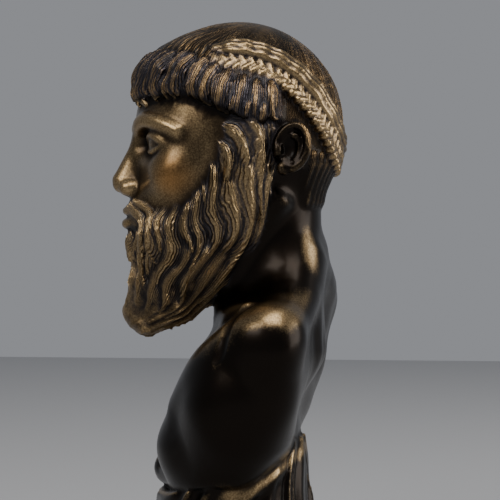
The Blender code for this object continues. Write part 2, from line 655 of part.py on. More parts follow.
def beard_mass(clay):
    """The beard's body: a wedge from the cheeks to its blunt tip, and the sideburns."""
    path = [(0, -8.6, 110.0), (0, -11.2, 101.5), (0, -14.4, 95.0), (0, -18.8, 88.0), (0, -24.6, 81.2)]
    widths = [16.6, 15.4, 12.8, 9.4, 5.0]
    depths = [14.8, 13.0, 11.4, 9.4, 5.6]
    sides, upright = frames(path, np.array((0.0, -1.0, 0.0)))
    clay.add(HEAD, sweep(path, sides, upright, widths, depths), 2.0)
    for side in (-1, 1):
        for share in np.linspace(0.0, 1.0, 13):
            radius = 1.6 + 4.4 * share
            middle = jaw_line(share, side) - mirrored((radius * 0.8, 0.6 * radius, 0.0), side)
            clay.add(HEAD, ellipsoid(middle, (radius, radius, radius)), 3.0)
            cheek = cheek_line(share, side) * 0.6 + jaw_line(share, side) * 0.4
            inside = cheek - mirrored((3.0 - 1.6 * (1.0 - share) ** 2, 0.0, 0.0), side)
            clay.add(HEAD, ellipsoid(inside, (3.6, 5.2 + 1.8 * share, 4.6)), 3.0)


def shingled(turn, radius, down, wander):
    """The height of rows of waving locks, by the turn round the beard, its radius and the way down it."""
    found = np.zeros_like(turn)
    for number, (start, length, count, crest) in enumerate(BEARD_ROWS):
        chance = wander.uniform(-1.0, 1.0, (4, count)).astype(np.float32)
        pitch = 2.0 * np.pi * np.maximum(radius, 2.0) / count
        sway = 1.0 * np.sin(2.0 * np.pi * down / BEARD_WAVE + 1.3 * turn + 0.9 * np.sin(4.0 * turn)) / pitch
        place = turn * count / (2.0 * np.pi) + 0.5 * number + sway
        nearest = np.round(place)
        for neighbour in (-1, 0, 1):
            index = (nearest + neighbour).astype(int) % count
            shift, longer, taller, curl = chance[:, index]
            share = (down - start - 2.0 * shift) / (length * (1.0 + 0.2 * longer))
            inside = np.clip(share, 0.0, 1.0)
            hooked = (0.3 + 0.4 * curl) * np.maximum(inside - 0.55, 0.0) ** 2 / 0.2
            offset = place - nearest - neighbour - 0.15 * shift - hooked
            width = 0.60 * (1.0 - 0.7 * ease((inside - 0.6) / 0.4)) * (0.6 + 0.4 * ease(inside / 0.25))
            across = np.clip(offset / width, -1.0, 1.0)
            body = ease(share / 0.25) * (1.0 - ease((share - 0.88) / 0.12))
            hairs = 1.0 + RIDGE_RELIEF * np.cos(2.0 * np.pi * across)
            rise = (1.0 - across ** 2) * hairs * (0.65 + 0.35 * inside) * body
            tall = crest * (1.0 + 0.2 * taller) * np.minimum(1.0, pitch / 2.6)
            found = np.maximum(found, rise * tall)
    return found


def lay_beard(clay, wander):
    """The beard with its long locks, which hang from the cheeks and sweep forward to the tip."""
    beard = Clay(CLAY_LOW, CLAY_HIGH, clay.step)
    beard_mass(beard)

    def height(points):
        x, y, z = (points[..., i] for i in range(3))
        away = np.hypot(y - BEARD_HUB[0], z - BEARD_HUB[1])
        down = BEARD_REACH * np.arctan2(BEARD_HUB[1] - z, y - BEARD_HUB[0])
        turn = np.arctan2(x, BEARD_REACH - away)
        return shingled(turn, np.hypot(x, BEARD_REACH - away), down, wander)

    beard.swell(HEAD, height, (-26, -34, 72), (26, 12, 140))
    clay.join(beard, 0.9)


def lay_moustache(clay, skin, wander):
    """Locks that part under the nose and fall past the mouth into the beard, and a tuft below the lip."""
    for side in (-1, 1):
        for i in range(4):
            root = mirrored((0.9 + 1.5 * i, -30.0 + 0.8 * i, 112.8 + 0.5 * i), side)
            lean = wander.uniform(-0.12, 0.12)

            def flow(point, normal, share, side=side, lean=lean):
                outward = np.array((side, 0.25, 0.0)) * 2.0 * (1.0 - ease(share / 0.6))
                heading = unit(outward + np.array((0.0, 0.0, -1.0)))
                return swirled(heading, normal, side * (lean + 0.3 * np.sin(7.0 * share)))

            path, normals = comb(skin, root, flow, 24.0 - 2.0 * i, 16)
            clay.add(HEAD, lock(path, normals, 1.1, 1.3, 0.5, 1.0, 0.1), 0.2)
    for i in range(-2, 3):
        root = (1.3 * i, -28.5, 105.6 - 0.3 * abs(i))

        def tuft_flow(point, normal, share, i=i):
            return unit(np.array((0.25 * i * (share - 0.3), 0.0, -1.0)))

        path, normals = comb(skin, root, tuft_flow, 9.0, 8)
        clay.add(HEAD, lock(path, normals, 1.2, 1.1, 0.3, 1.0, 0.1), 0.3)


# From clay to bronze

def model_clay(step):
    """The whole figure as a block of distances."""
    clay = Clay(CLAY_LOW, CLAY_HIGH, step)
    shape_torso(clay)
    trim_torso(clay)
    shape_support(clay)
    shape_skull(clay)
    shape_eyes(clay)
    shape_nose(clay)
    shape_mouth(clay)
    wander = np.random.default_rng(11)
    shape_fringe(clay)
    lay_beard(clay, wander)
    skin = Clay(CLAY_LOW, CLAY_HIGH, step)
    skin.field = clay.field.copy()
    nape_hair(clay)
    plait_band(clay)
    lay_fringe(clay, skin, wander)
    shape_ears(clay)
    lay_moustache(clay, skin, wander)
    return clay


def skin_mesh(clay):
    """The clay's surface as a mesh, in metres."""
    grid = openvdb.FloatGrid(CLAY_FAR)
    grid.copyFromArray(np.clip(clay.field, -CLAY_FAR, CLAY_FAR))
    points, quads = grid.convertToQuads(0.0)
    points = (points * clay.step + clay.low) * PART
    mesh = bpy.data.meshes.new("zeus_bust")
    mesh.from_pydata(points.tolist(), [], quads.tolist())
    return mesh


def largest_body(mesh):
    """Drop any crumb that isn't joined to the bust."""
    form = bmesh.new()
    form.from_mesh(mesh)
    form.verts.ensure_lookup_table()
    unseen = set(form.verts)
    bodies = []
    while unseen:
        found = [unseen.pop()]
        for vertex in found:
            for edge in vertex.link_edges:
                other = edge.other_vert(vertex)
                if other in unseen:
                    unseen.remove(other)
                    found.append(other)
        bodies.append(found)
    bodies.sort(key=len)
    crumbs = [vertex for body in bodies[:-1] for vertex in body]
    bmesh.ops.delete(form, geom=crumbs, context="VERTS")
    form.to_mesh(mesh)
    form.free()


def cut_flat(mesh):
    """Cut the underside flat at the origin's height."""
    form = bmesh.new()
    form.from_mesh(mesh)
    everything = form.verts[:] + form.edges[:] + form.faces[:]
    bmesh.ops.bisect_plane(form, geom=everything, dist=1e-7, plane_co=(0, 0, 0), plane_no=(0, 0, 1),
                           clear_inner=True)
    rim = [edge for edge in form.edges if edge.is_boundary]
    bmesh.ops.contextual_create(form, geom=rim)
    bmesh.ops.triangulate(form, faces=form.faces[:])
    bmesh.ops.recalc_face_normals(form, faces=form.faces[:])
    form.to_mesh(mesh)
    form.free()


def thinned(mesh, budget):
    """The same surface with fewer triangles, kept where it bends most."""
    thick = bpy.data.objects.new("clay_skin", mesh)
    bpy.context.scene.collection.objects.link(thick)
    fewer = thick.modifiers.new("fewer faces", "DECIMATE")
    fewer.ratio = budget / (2.0 * len(mesh.polygons))
    fewer.use_collapse_triangulate = True
    depsgraph = bpy.context.evaluated_depsgraph_get()
    result = bpy.data.meshes.new_from_object(thick.evaluated_get(depsgraph))
    bpy.data.objects.remove(thick)
    return result


def bronze():
    """Dark, softly polished bronze."""
    material = bpy.data.materials.new("bronze")
    material.use_nodes = True
    shader = material.node_tree.nodes["Principled BSDF"]
    shader.inputs["Base Color"].default_value = BRONZE_COLOUR
    shader.inputs["Metallic"].default_value = BRONZE_METALLIC
    shader.inputs["Roughness"].default_value = BRONZE_ROUGHNESS
    return material


def main():
    """Clear the scene and cast the bust."""
    for thing in list(bpy.data.objects):
        bpy.data.objects.remove(thing)
    mesh = skin_mesh(model_clay(CLAY_STEP))
    largest_body(mesh)
    mesh = thinned(mesh, TRIANGLE_BUDGET)
    cut_flat(mesh)
    mesh.shade_smooth()
    mesh.materials.append(bronze())
    bust = bpy.data.objects.new("zeus_bust", mesh)
    bpy.context.scene.collection.objects.link(bust)


main()
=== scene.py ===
"""Visual model of the bronze bust: the finely carved skin, its patina, and the camera's view of it.

The figure faces -Y and its own left side is +X. The origin is the middle of the flat underside.
The skin is carved as clay: a block of signed distances, on which each muscle, lock and fold is laid
or cut. The forms are those of the CAD part, carved finer. The figure's own forms are counted in
parts: the bust is PARTS_TALL parts from underside to crown.
"""
from itertools import product

import bmesh
import bpy
import numpy as np
import openvdb
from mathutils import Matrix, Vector


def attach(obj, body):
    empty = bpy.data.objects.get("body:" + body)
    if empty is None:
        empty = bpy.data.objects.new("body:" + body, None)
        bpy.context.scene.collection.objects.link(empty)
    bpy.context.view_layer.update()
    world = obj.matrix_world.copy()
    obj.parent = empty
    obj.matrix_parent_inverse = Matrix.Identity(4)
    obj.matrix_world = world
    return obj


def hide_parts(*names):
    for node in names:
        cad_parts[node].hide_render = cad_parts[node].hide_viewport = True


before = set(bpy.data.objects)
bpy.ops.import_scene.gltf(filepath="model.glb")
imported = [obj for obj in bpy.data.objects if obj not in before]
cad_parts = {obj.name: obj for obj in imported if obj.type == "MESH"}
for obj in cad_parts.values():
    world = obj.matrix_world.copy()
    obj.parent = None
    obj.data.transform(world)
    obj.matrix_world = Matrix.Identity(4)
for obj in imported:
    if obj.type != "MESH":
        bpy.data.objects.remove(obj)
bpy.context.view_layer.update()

# Driving sizes, in metres
BUST_HEIGHT = 0.164
FOOT_WIDTH = 0.064
FOOT_DEPTH = 0.055
FOOT_HEIGHT = 0.007
FOOT_EDGE_RADIUS = 0.0012
SUPPORT_WIDTH = 0.052
SUPPORT_DEPTH = 0.0385
SUPPORT_FLARE = 0.004

# The triangles that the skin is thinned to
TRIANGLE_BUDGET = 196000

# One part of the figure, in metres
PARTS_TALL = 164.0
PART = BUST_HEIGHT / PARTS_TALL

# The block of clay, in parts; the foot goes on below the underside until the block is cut flat there
CLAY_LOW = (-46.0, -40.0, -5.0)
CLAY_HIGH = (46.0, 40.0, 168.0)
CLAY_STEP = 0.5
CLAY_FAR = 14.0
BELOW_UNDERSIDE = -6.0

# Places on the figure, in parts, and the head's turn
HEAD_TURN = np.radians(13.0)
NECK_AXIS = (0.0, 8.0, 0.0)
CAP_CENTRE = np.array((0.0, 2.0, 134.6))
CAP_RADII = np.array((22.6, 28.8, 28.8))
CROWN = np.array((0.0, 9.0, 163.0))
EAR_CENTRE = np.array((22.4, 13.4, 127.2))
EYE_CENTRE = np.array((9.7, -17.4, 128.8))
EYE_RADIUS = 6.4
BODY_CUT_FRONT = 33.5
BODY_CUT_BACK = 49.0
SUPPORT_TOP = 52.0

# The left and right of shoulders and chest, and how far each lies further back and up
SHOULDERS = ((1, 0.0, 0.0), (-1, 3.0, 5.0))
CHEST_SIDES = ((1, 0.0, 0.0), (-1, 3.0, 4.0))

# Combed strands round the crown and their height, and the size of the plait's beads
STRANDS_ROUND_CROWN = 76
STRAND_RELIEF = 0.2
PLAIT_BEAD = 2.4

# The fringe: the half circle that its roots stand on, and the degrees that they take up on a side
FRINGE_RADII = (22.5, 26.0)
FRINGE_START = 3.0
FRINGE_SPAN = 104.0

# Layers of the fringe: the root's height over the edge, the length and the half width of its locks
LOCKS_A_SIDE = 13
FRINGE_LAYERS = ((7.0, 8.5, 1.6), (14.5, 16.0, 2.3))
FRINGE_THICKNESS = 1.5

# The beard's course: its hub in Y and Z, the way from there to its middle, and the length of a wave
BEARD_HUB = (-45.0, 109.0)
BEARD_REACH = 35.5
BEARD_WAVE = 19.0

# Rows of the beard: start and length down from the eyes, locks in a full turn, and their height
BEARD_ROWS = ((-27.0, 27.0, 40, 1.6), (-10.0, 25.0, 31, 1.8), (5.0, 21.0, 23, 1.8), (15.0, 17.0, 16, 1.7),
              (23.0, 14.0, 11, 1.6))

# The ridges on a lock over its height, and the rounded ends of a swept bar over its half width
RIDGE_RELIEF = 0.17
CAP_SHARE = 0.7

# The camera, level with the throat: degrees, metres, and millimetres for lens and sensor
CAMERA_AZIMUTH = 97.0
CAMERA_DISTANCE = 0.42
CAMERA_LENS = 108.0
CAMERA_SENSOR = 36.0
CAMERA_HEIGHT = 0.1
CAMERA_SIDEWAYS = 0.0048

# The floor, in metres, and the room's even light
FLOOR_SIZE = 1.9
FLOOR_COLOUR = (0.36, 0.37, 0.39)
ROOM_COLOUR = (0.74, 0.76, 0.81)
ROOM_STRENGTH = 0.36

# Square lamps: the way to the camera, to its right and up, side, power and colour
LAMPS_MIDDLE = Vector((0.0, 0.0, 0.1))
LAMPS = {"key": ((0.35, 0.15, 0.75), 0.5, 5.0, (1.0, 0.95, 0.88)),
         "side_fill": ((0.75, -0.55, 0.75), 0.6, 7.0, (1.0, 0.96, 0.9)),
         "rim": ((0.1, 0.8, 0.2), 0.5, 4.0, (1.0, 0.97, 0.93))}

# The patina: how far each region turns to brass, by wear and, on shoulders, roll and neck, by painted
# highlights, and how warm the brass of the cap is
SHOULDER_WEAR_AND_HIGHLIGHT = 0.95
RUBBED_FOLDS = 0.1
RUBBED_FACE = 0.62
RUBBED_BEARD = 0.74
RUBBED_CAP = 0.42
RUBBED_BAND = 0.74
ROLL_HIGHLIGHT = 0.85
# The painted highlight down the back of the neck
NECK_HIGHLIGHT = 1.3
WARM_CAP = 0.18

# How far relief and noises move the edge between dark and brass, and where brass begins and is full
RAISED_WEIGHT = 0.8
SPECKLE_WEIGHT = 0.35
CLOUD_WEIGHT = 0.8
STRANDS_WEIGHT = 0.16
BRASS_FROM = 0.2
BRASS_FULL = 1.1

# The patina's colours, and its roughness: least, more by speckle and more in hollows
DARK_BROWN = (0.009, 0.006, 0.004)
DARK_WARM = (0.040, 0.026, 0.014)
# A painted reflection: the dark of fringe, beard and band is turned violet
PAINTED_VIOLET_REFLECTION = (0.046, 0.043, 0.052)
HOLLOW_BLACK = (0.004, 0.003, 0.003)
BRASS_DULL = (0.18, 0.115, 0.052)
BRASS_BRIGHT = (0.42, 0.305, 0.16)
BRASS_WARM = (0.42, 0.20, 0.055)
ROUGHNESS = 0.24
ROUGHNESS_OF_SPECKLE = 0.16
ROUGHNESS_OF_HOLLOWS = 0.3
COAT_WEIGHT = 0.14
COAT_ROUGHNESS = 0.22

# The patina's noises, in cycles per metre, and how far the strands stray, in strands
SPECKLE_SCALE = 2400.0
CLOUD_SCALE = 70.0
WOBBLE_SCALE = 260.0
WOBBLE_REACH = 2.2

# Fine strands: their number round the crown, width and the beard's radius in parts, height in metres
STRANDS_ON_CAP = 240
STRAND_PITCH = 0.62
STRAND_HEIGHT = 0.00012
BEARD_GIRTH = 17.0


# Small helpers

def unit(vector):
    """The vector at length one."""
    return vector / max(np.linalg.norm(vector), 1e-9)


def ease(value):
    """Smooth step from 0 at 0 to 1 at 1."""
    value = np.clip(value, 0.0, 1.0)
    return value * value * (3.0 - 2.0 * value)


def blended(first, second, softness):
    """Union of two distances with a fillet of about the given softness."""
    share = np.clip(0.5 + 0.5 * (second - first) / softness, 0.0, 1.0)
    return second + (first - second) * share - softness * share * (1.0 - share)


def shared(first, second, softness):
    """What two distances have in common, with a rounded edge."""
    return -blended(-first, -second, softness)


class Pose:
    """A space turned about a vertical axis, such as the head on the neck."""

    def __init__(self, turn, pivot):
        cosine = np.cos(turn)
        sine = np.sin(turn)
        self.matrix = np.array(((cosine, -sine, 0.0), (sine, cosine, 0.0), (0.0, 0.0, 1.0)), np.float32)
        self.pivot = np.array(pivot, np.float32)

    def outward(self, points):
        """Own coordinates to the bust's."""
        return (points - self.pivot) @ self.matrix.T + self.pivot

    def inward(self, points):
        """The bust's coordinates to own ones."""
        return (points - self.pivot) @ self.matrix + self.pivot


BODY = Pose(0.0, (0.0, 0.0, 0.0))
HEAD = Pose(HEAD_TURN, NECK_AXIS)


class Clay:
    """A block of signed distances, negative inside the bronze."""

    def __init__(self, low, high, step):
        self.low = np.array(low)
        self.step = step
        self.count = np.ceil((np.array(high) - self.low) / step).astype(int) + 1
        self.field = np.full(self.count, CLAY_FAR, np.float32)

    def patch(self, pose, low, high, margin):
        """The slices over a box of a pose, and the pose's coordinates of their points."""
        low = np.array(low) - margin
        high = np.array(high) + margin
        corners = np.array(list(product(*zip(low, high))))
        corners = (pose.outward(corners) - self.low) / self.step
        first = np.clip(np.floor(corners.min(axis=0)).astype(int), 0, self.count)
        last = np.clip(np.ceil(corners.max(axis=0)).astype(int) + 1, 0, self.count)
        axes = [(self.low[i] + self.step * np.arange(first[i], last[i])).astype(np.float32) for i in range(3)]
        points = np.stack(np.meshgrid(*axes, indexing="ij"), axis=-1)
        return tuple(slice(a, b) for a, b in zip(first, last)), pose.inward(points)

    def measure(self, pose, shape, margin):
        """Distances to a shape over its box: the least of the distances to its pieces."""
        lows, highs = (np.array([piece[i] for piece in shape]) for i in (1, 2))
        if len(shape) == 1:
            where, points = self.patch(pose, lows[0], highs[0], margin)
            return where, shape[0][0](points)
        where, points = self.patch(pose, lows.min(axis=0), highs.max(axis=0), margin)
        found = np.full(points.shape[:-1], 10.0 * CLAY_FAR, np.float32)
        start = [part.start for part in where]
        for distance, low, high in shape:
            inner, points = self.patch(pose, low, high, margin)
            inner = tuple(slice(part.start - s, part.stop - s) for part, s in zip(inner, start))
            found[inner] = np.minimum(found[inner], distance(points))
        return where, found

    def add(self, pose, shape, softness):
        """Lay a shape on, with a fillet."""
        where, found = self.measure(pose, shape, 1.6 * softness + 1.5)
        self.field[where] = blended(self.field[where], found, softness)

    def cut(self, pose, shape, softness):
        """Cut a shape out, with a rounded edge."""
        where, found = self.measure(pose, shape, 1.6 * softness + 1.5)
        self.field[where] = shared(self.field[where], -found, softness)

    def join(self, other, softness):
        """Lay another block of the same size on."""
        self.field = blended(self.field, other.field, softness)

    def swell(self, pose, height, low, high):
        """Raise the skin by height(points) inside a box."""
        where, points = self.patch(pose, low, high, 0.0)
        self.field[where] -= height(points)

    def depth(self, pose, point):
        """The distance at one point, read between the block's own points."""
        place = (pose.outward(point) - self.low) / self.step
        base = np.clip(np.floor(place).astype(int), 0, self.count - 2)
        share = place - base
        cube = self.field[base[0]:base[0] + 2, base[1]:base[1] + 2, base[2]:base[2] + 2]
        for axis in range(3):
            cube = cube[0] * (1.0 - share[axis]) + cube[1] * share[axis]
        return float(cube)

    def normal(self, pose, point):
        """The skin's outward direction near a point."""
        reach = self.step
        steps = np.eye(3) * reach
        return unit(np.array([self.depth(pose, point + s) - self.depth(pose, point - s) for s in steps]))

    def settle(self, pose, point):
        """The point of the skin nearest to a point that lies close to it."""
        for _ in range(4):
            point = point - self.normal(pose, point) * self.depth(pose, point)
        return point


# Shapes: each is a list of pieces, and a piece is a distance function with the corners of its box

def ellipsoid(centre, radii):
    """An egg, measured along its own X, Y and Z."""
    centre = np.array(centre, np.float32)
    radii = np.array(radii, np.float32)

    def distance(points):
        away = points - centre
        near = np.sqrt(((away / radii) ** 2).sum(axis=-1))
        slope = np.sqrt(((away / radii ** 2) ** 2).sum(axis=-1))
        return near * (near - 1.0) / np.maximum(slope, 1e-6)

    return [(distance, centre - radii, centre + radii)]


def sweep(path, sides, normals, widths, depths, ridges=0.0, relief=0.0):
    """A bar of elliptic section along a path, with ridges that run along it."""
    path, sides, normals = (np.array(v, np.float32) for v in (path, sides, normals))
    widths, depths = (np.broadcast_to(np.array(v, np.float32), len(path)) for v in (widths, depths))
    spans = [slice(i, i + 2) for i in range(len(path) - 1)]
    return [stretch(path[s], sides[s], normals[s], widths[s], depths[s], ridges, relief) for s in spans]


def stretch(ends, sides, normals, widths, depths, ridges, relief):
    """One straight stretch of a swept bar."""
    axis = ends[1] - ends[0]
    length = max(float(np.linalg.norm(axis)), 1e-3)
    reach = max(widths.max(), depths.max()) + relief

    def distance(points):
        away = points - ends[0]
        share = np.clip(away @ axis / length ** 2, 0.0, 1.0)
        width = widths[0] + (widths[1] - widths[0]) * share
        thick = depths[0] + (depths[1] - depths[0]) * share
        end = (away @ axis) / length - share * length
        side, rise = (((away @ pair[0]) - (axis @ pair[0]) * share) * (1.0 - share)
                      + ((away @ pair[1]) - (axis @ pair[1]) * share) * share for pair in (sides, normals))
        cap = CAP_SHARE * width
        near = np.sqrt((side / width) ** 2 + (rise / thick) ** 2 + (end / cap) ** 2)
        slope = np.sqrt((side / width ** 2) ** 2 + (rise / thick ** 2) ** 2 + (end / cap ** 2) ** 2)
        found = near * (near - 1.0) / np.maximum(slope, 1e-6)
        if ridges:
            found = found - relief * np.cos(np.pi * ridges * side / width)
        return found

    return distance, ends.min(axis=0) - reach, ends.max(axis=0) + reach


def cord(path, radii):
    """A round bar along a path."""
    sides, normals = frames(path, np.array((0.3, 0.9, 0.1)))
    return sweep(path, sides, normals, radii, radii)


def frames(path, upward):
    """Side and normal vectors along a path, the normals as near to upward as they can be."""
    path = np.array(path, float)
    tangents = np.gradient(path, axis=0)
    upward = np.broadcast_to(upward, path.shape)
    sides = np.array([unit(np.cross(t, u)) for t, u in zip(tangents, upward)])
    normals = np.array([unit(np.cross(s, t)) for s, t in zip(sides, tangents)])
    return sides, normals


def bend(start, middle, end, count):
    """Points on the arc-like curve from start to end that passes middle halfway."""
    start, middle, end = (np.array(p, float) for p in (start, middle, end))
    handle = 2.0 * middle - 0.5 * (start + end)
    shares = np.linspace(0.0, 1.0, count)[:, None]
    return (1 - shares) ** 2 * start + 2 * shares * (1 - shares) * handle + shares ** 2 * end


def mirrored(point, side):
    """The point on the figure's left for side 1, or its twin on the right for side -1."""
    return np.array(point) * np.array((side, 1.0, 1.0))


# Forms that follow the skin

def twin(side, *points):
    """The smooth curve through three points on the figure's left, or its twin on the right."""
    return bend(*(mirrored(point, side) for point in points), 9)


def on_skin(clay, pose, path):
    """A path laid on the skin, with the skin's outward directions."""
    points = np.array([clay.settle(pose, point) for point in path])
    return points, np.array([clay.normal(pose, point) for point in points])


def furrow(clay, pose, path, width, depth, softness):
    """Cut a shallow furrow along a path on the skin."""
    points, normals = on_skin(clay, pose, path)
    sides, upright = frames(points, normals)
    clay.cut(pose, sweep(points, sides, upright, width, depth), softness)


def comb(clay, root, flow, length, steps):
    """Walk over the head's skin from a root along a flow, and give the path and its normals."""
    point = clay.settle(HEAD, np.array(root, float))
    path = []
    normals = []
    for i in range(steps + 1):
        normal = clay.normal(HEAD, point)
        path.append(point)
        normals.append(normal)
        heading = flow(point, normal, i / steps)
        heading = unit(heading - normal * (heading @ normal))
        point = clay.settle(HEAD, point + heading * length / steps)
    return np.array(path), np.array(normals)


def swirled(heading, normal, angle):
    """A heading turned about the skin's normal."""
    return heading * np.cos(angle) + np.cross(normal, heading) * np.sin(angle)


def lock(path, normals, width, depth, lift, ridges, relief):
    """A lock of hair: sunk at its root, full in the middle and drawn to a lifted point."""
    shares = np.linspace(0.0, 1.0, len(path))
    taper = np.minimum(1.0, 0.45 + 2.4 * shares) * (1.0 - 0.85 * ease((shares - 0.45) / 0.6))
    widths = width * taper
    depths = depth * np.minimum(1.0, 0.5 + 2.0 * shares) * (1.0 - 0.6 * ease((shares - 0.5) / 0.6))
    raised = path + normals * (lift * np.minimum(1.0, 0.2 + 2.0 * shares))[:, None]
    sides, upright = frames(raised, normals)
    return sweep(raised, sides, upright, widths, depths, ridges, relief)


# The torso

def shape_torso(clay):
    """Chest, shoulders, back and neck, the right shoulder raised and drawn back."""
    clay.add(BODY, ellipsoid((0.0, 0.5, 45.0), (31.0, 18.6, 33.0)), 1.0)
    clay.add(BODY, ellipsoid((0.0, 9.4, 72.0), (34.0, 13.4, 18.0)), 5.0)
    for side, back, up in SHOULDERS:
        clay.add(BODY, ellipsoid((20.5 * side, 4.4 + back / 2, 58.4 + up), (18.0, 15.6, 21.0)), 4.5)
        clay.add(BODY, ellipsoid((30.5 * side, 13.0 + back, 75.0 + 1.4 * up), (9.5, 9.8, 10.5)), 3.5)
        band = bend((30.0 * side, 9.0 + back, 77.0 + up), (26.0 * side, -0.5 + back, 70.0 + up),
                    (16.0 * side, -9.0, 57.0 + up / 2), 7)
        clay.add(BODY, cord(band, [6.0, 6.0, 5.6, 5.4, 5.4, 5.6, 6.0]), 4.0)
        clay.add(BODY, ellipsoid((27.4 * side, 9.6 + back, 66.0 + up), (9.4, 11.6, 14.0)), 5.0)
    clay.add(BODY, ellipsoid((-8.0, -6.6, 38.0), (16.0, 17.0, 9.0)), 4.0)
    shape_neck(clay)
    shape_back(clay)
    shape_chest(clay)


def shape_neck(clay):
    """The neck with its front muscles, and the slopes to the shoulders."""
    nape = bend((0, 11.5, 72.0), (0, 10.6, 92.0), (0, 10.4, 118.0), 6)
    clay.add(BODY, cord(nape, [16, 15.4, 14.9, 14.5, 14.4, 14.2]), 4.0)
    lowered = bend((5, 17, 96), (16, 17.4, 85), (29, 15.4, 79), 6)
    clay.add(BODY, cord(lowered, [9, 8.4, 7.8, 7.2, 6.8, 6.4]), 5.0)
    raised = bend((-5, 17, 98), (-15, 19.5, 90.5), (-29, 19.5, 87), 6)
    clay.add(BODY, cord(raised, [9, 8.6, 8.4, 8.2, 7.8, 7.4]), 5.0)
    for side in (-1, 1):
        muscle = twin(side, (14.0, 14.0, 114.0), (10.5, 3.4, 98.0), (2.5, -2.4, 82.0))
        clay.add(BODY, cord(muscle, np.linspace(4.0, 2.4, 9)), 3.0)


def shape_back(clay):
    """Shoulder blades on either side of the groove of the spine."""
    clay.add(BODY, ellipsoid((18.0, 15.4, 72.0), (11.5, 7.5, 14.0)), 3.5)
    clay.add(BODY, ellipsoid((-18.0, 17.4, 82.0), (12.0, 8.5, 14.0)), 3.5)
    spine = bend((0, 31.0, 92.0), (0, 30.5, 70.0), (0, 25.0, 46.0), 6)
    clay.cut(BODY, cord(spine, [2, 4, 5.4, 5.6, 4.8, 3.5]), 5.0)


def shape_chest(clay):
    """Collar bones, breast muscles and the furrow between them."""
    for side, back, up in CHEST_SIDES:
        collar = twin(side, (3.5, -0.6, 79.5), (15.0, 1.6, 81.5 + up / 2), (28.0, 8.0 + back, 84.0 + up))
        clay.add(BODY, cord(collar, np.linspace(1.7, 2.1, 9)), 3.0)
        breast = mirrored((12.5, -7.0 - 0.7 * back, 46.5 - up / 2), side)
        clay.add(BODY, ellipsoid(breast, (13.0, 12.0, 11.5)), 4.0)
        groove = twin(side, (28.5, 9.5 + back, 85.0 + up), (31.0, 6.0 + back, 78.0 + up),
                      (31.0, 2.5 + back, 69.0 + up))
        fading = 0.85 * np.sin(np.linspace(0.5, np.pi - 0.15, 9))
        furrow(clay, BODY, groove, 1.3 * fading, 0.6 * fading, 1.3)
    middle = bend((0, -11.0, 70), (0, -20.6, 56), (0, -22.0, 40), 6)
    clay.cut(BODY, cord(middle, [1.0, 1.4, 1.6, 1.6, 1.6, 1.6]), 3.0)
    clay.cut(BODY, ellipsoid((0, -5.0, 82.5), (2.6, 3.0, 2.6)), 2.5)


def body_cut(x, y):
    """Height of the body's lower edge: lowest at the chest, higher at the sides and the back."""
    return BODY_CUT_FRONT + 6.0 * (x / 36.0) ** 2 + (BODY_CUT_BACK - BODY_CUT_FRONT) * ease((y - 4.0) / 22.0)


def trim_torso(clay):
    """The arms are cut off smooth and convex, and the body ends in a curved, rounded edge."""
    arms = ellipsoid((0.0, 10.0, 70.0), (40.5, 52.0, 66.0))[0][0]
    where, points = clay.patch(BODY, (-46, -40, 20), (46, 40, 104), 0.0)
    belly = (body_cut(points[..., 0], points[..., 1]) - points[..., 2]) * 0.85
    clay.field[where] = shared(shared(clay.field[where], arms(points), 2.5), belly, 1.6)


# The support and its drapery

def support_radii(height):
    """Half width and half depth of the support at a height, in parts: it flares to the foot."""
    flare = SUPPORT_FLARE / PART * (1.0 - ease(height / SUPPORT_TOP))
    return SUPPORT_WIDTH / PART / 2 + flare, SUPPORT_DEPTH / PART / 2 + flare


def oval(width, depth, low, high, rounding):
    """An upright oval block of changing radii, its edges rounded."""
    def distance(points):
        wide, deep = (value(points[..., 2]) for value in (width, depth))
        near = np.sqrt((points[..., 0] / wide) ** 2 + (points[..., 1] / deep) ** 2)
        slope = np.sqrt((points[..., 0] / wide ** 2) ** 2 + (points[..., 1] / deep ** 2) ** 2)
        round_wall = near * (near - 1.0) / np.maximum(slope, 1e-6)
        level = np.maximum(points[..., 2] - high, low - points[..., 2])
        return shared(round_wall, level, rounding)

    reach = np.array((width(low), depth(low)))
    return [(distance, np.array((-reach[0], -reach[1], low)), np.array((reach[0], reach[1], high)))]


def shape_support(clay):
    """The draped support under the body."""
    support = Clay(CLAY_LOW, CLAY_HIGH, clay.step)
    radii = (lambda z: support_radii(z)[0]), (lambda z: support_radii(z)[1])
    support.add(BODY, oval(*radii, BELOW_UNDERSIDE, SUPPORT_TOP, 2.0), 1.5)
    support.swell(BODY, fold_height, (-34, -30, 4), (34, 30, 56))
    where, points = support.patch(BODY, (-40, -34, 25), (40, 34, 60), 0.0)
    overlap = 3.0 * ease((points[..., 1] + 8.0) / 20.0)
    above = points[..., 2] - body_cut(points[..., 0], points[..., 1]) - overlap
    support.field[where] = shared(support.field[where], above, 1.5)
    clay.join(support, 0.8)


def shape_roll(clay):
    """The mantle's rolled upper edge, along the body's lower edge on both sides."""
    count = 16
    shares = np.linspace(0, 1, count)
    turn = np.radians(np.linspace(30.0, 112.0, count))
    wide, deep = support_radii(44.0)
    inward = np.interp(shares, (0, 0.2, 0.75, 1), (2.0, 0.0, 0.0, 3.0))
    radii = np.interp(shares, (0, 0.3, 0.75, 1), (1.4, 2.0, 1.9, 1.2))
    for side in (-1, 1):
        x = side * (wide + 0.6 - inward) * np.sin(turn)
        y = (deep + 0.4 - inward) * np.cos(turn)
        roll = np.stack([x, y, body_cut(x, y) - 0.4 - 1.0 * np.sin(turn)], axis=1)
        sides, upright = frames(roll, np.stack([side * np.sin(turn), np.cos(turn), 0 * turn], axis=1))
        clay.add(BODY, sweep(roll, sides, upright, radii, radii), 2.0)


def shape_foot(clay):
    """The plain low foot that the bust stands on."""
    wide = FOOT_WIDTH / PART / 2
    deep = FOOT_DEPTH / PART / 2
    edge = FOOT_EDGE_RADIUS / PART
    clay.add(BODY, oval(lambda z: wide, lambda z: deep, BELOW_UNDERSIDE, FOOT_HEIGHT / PART, edge), 1.0)


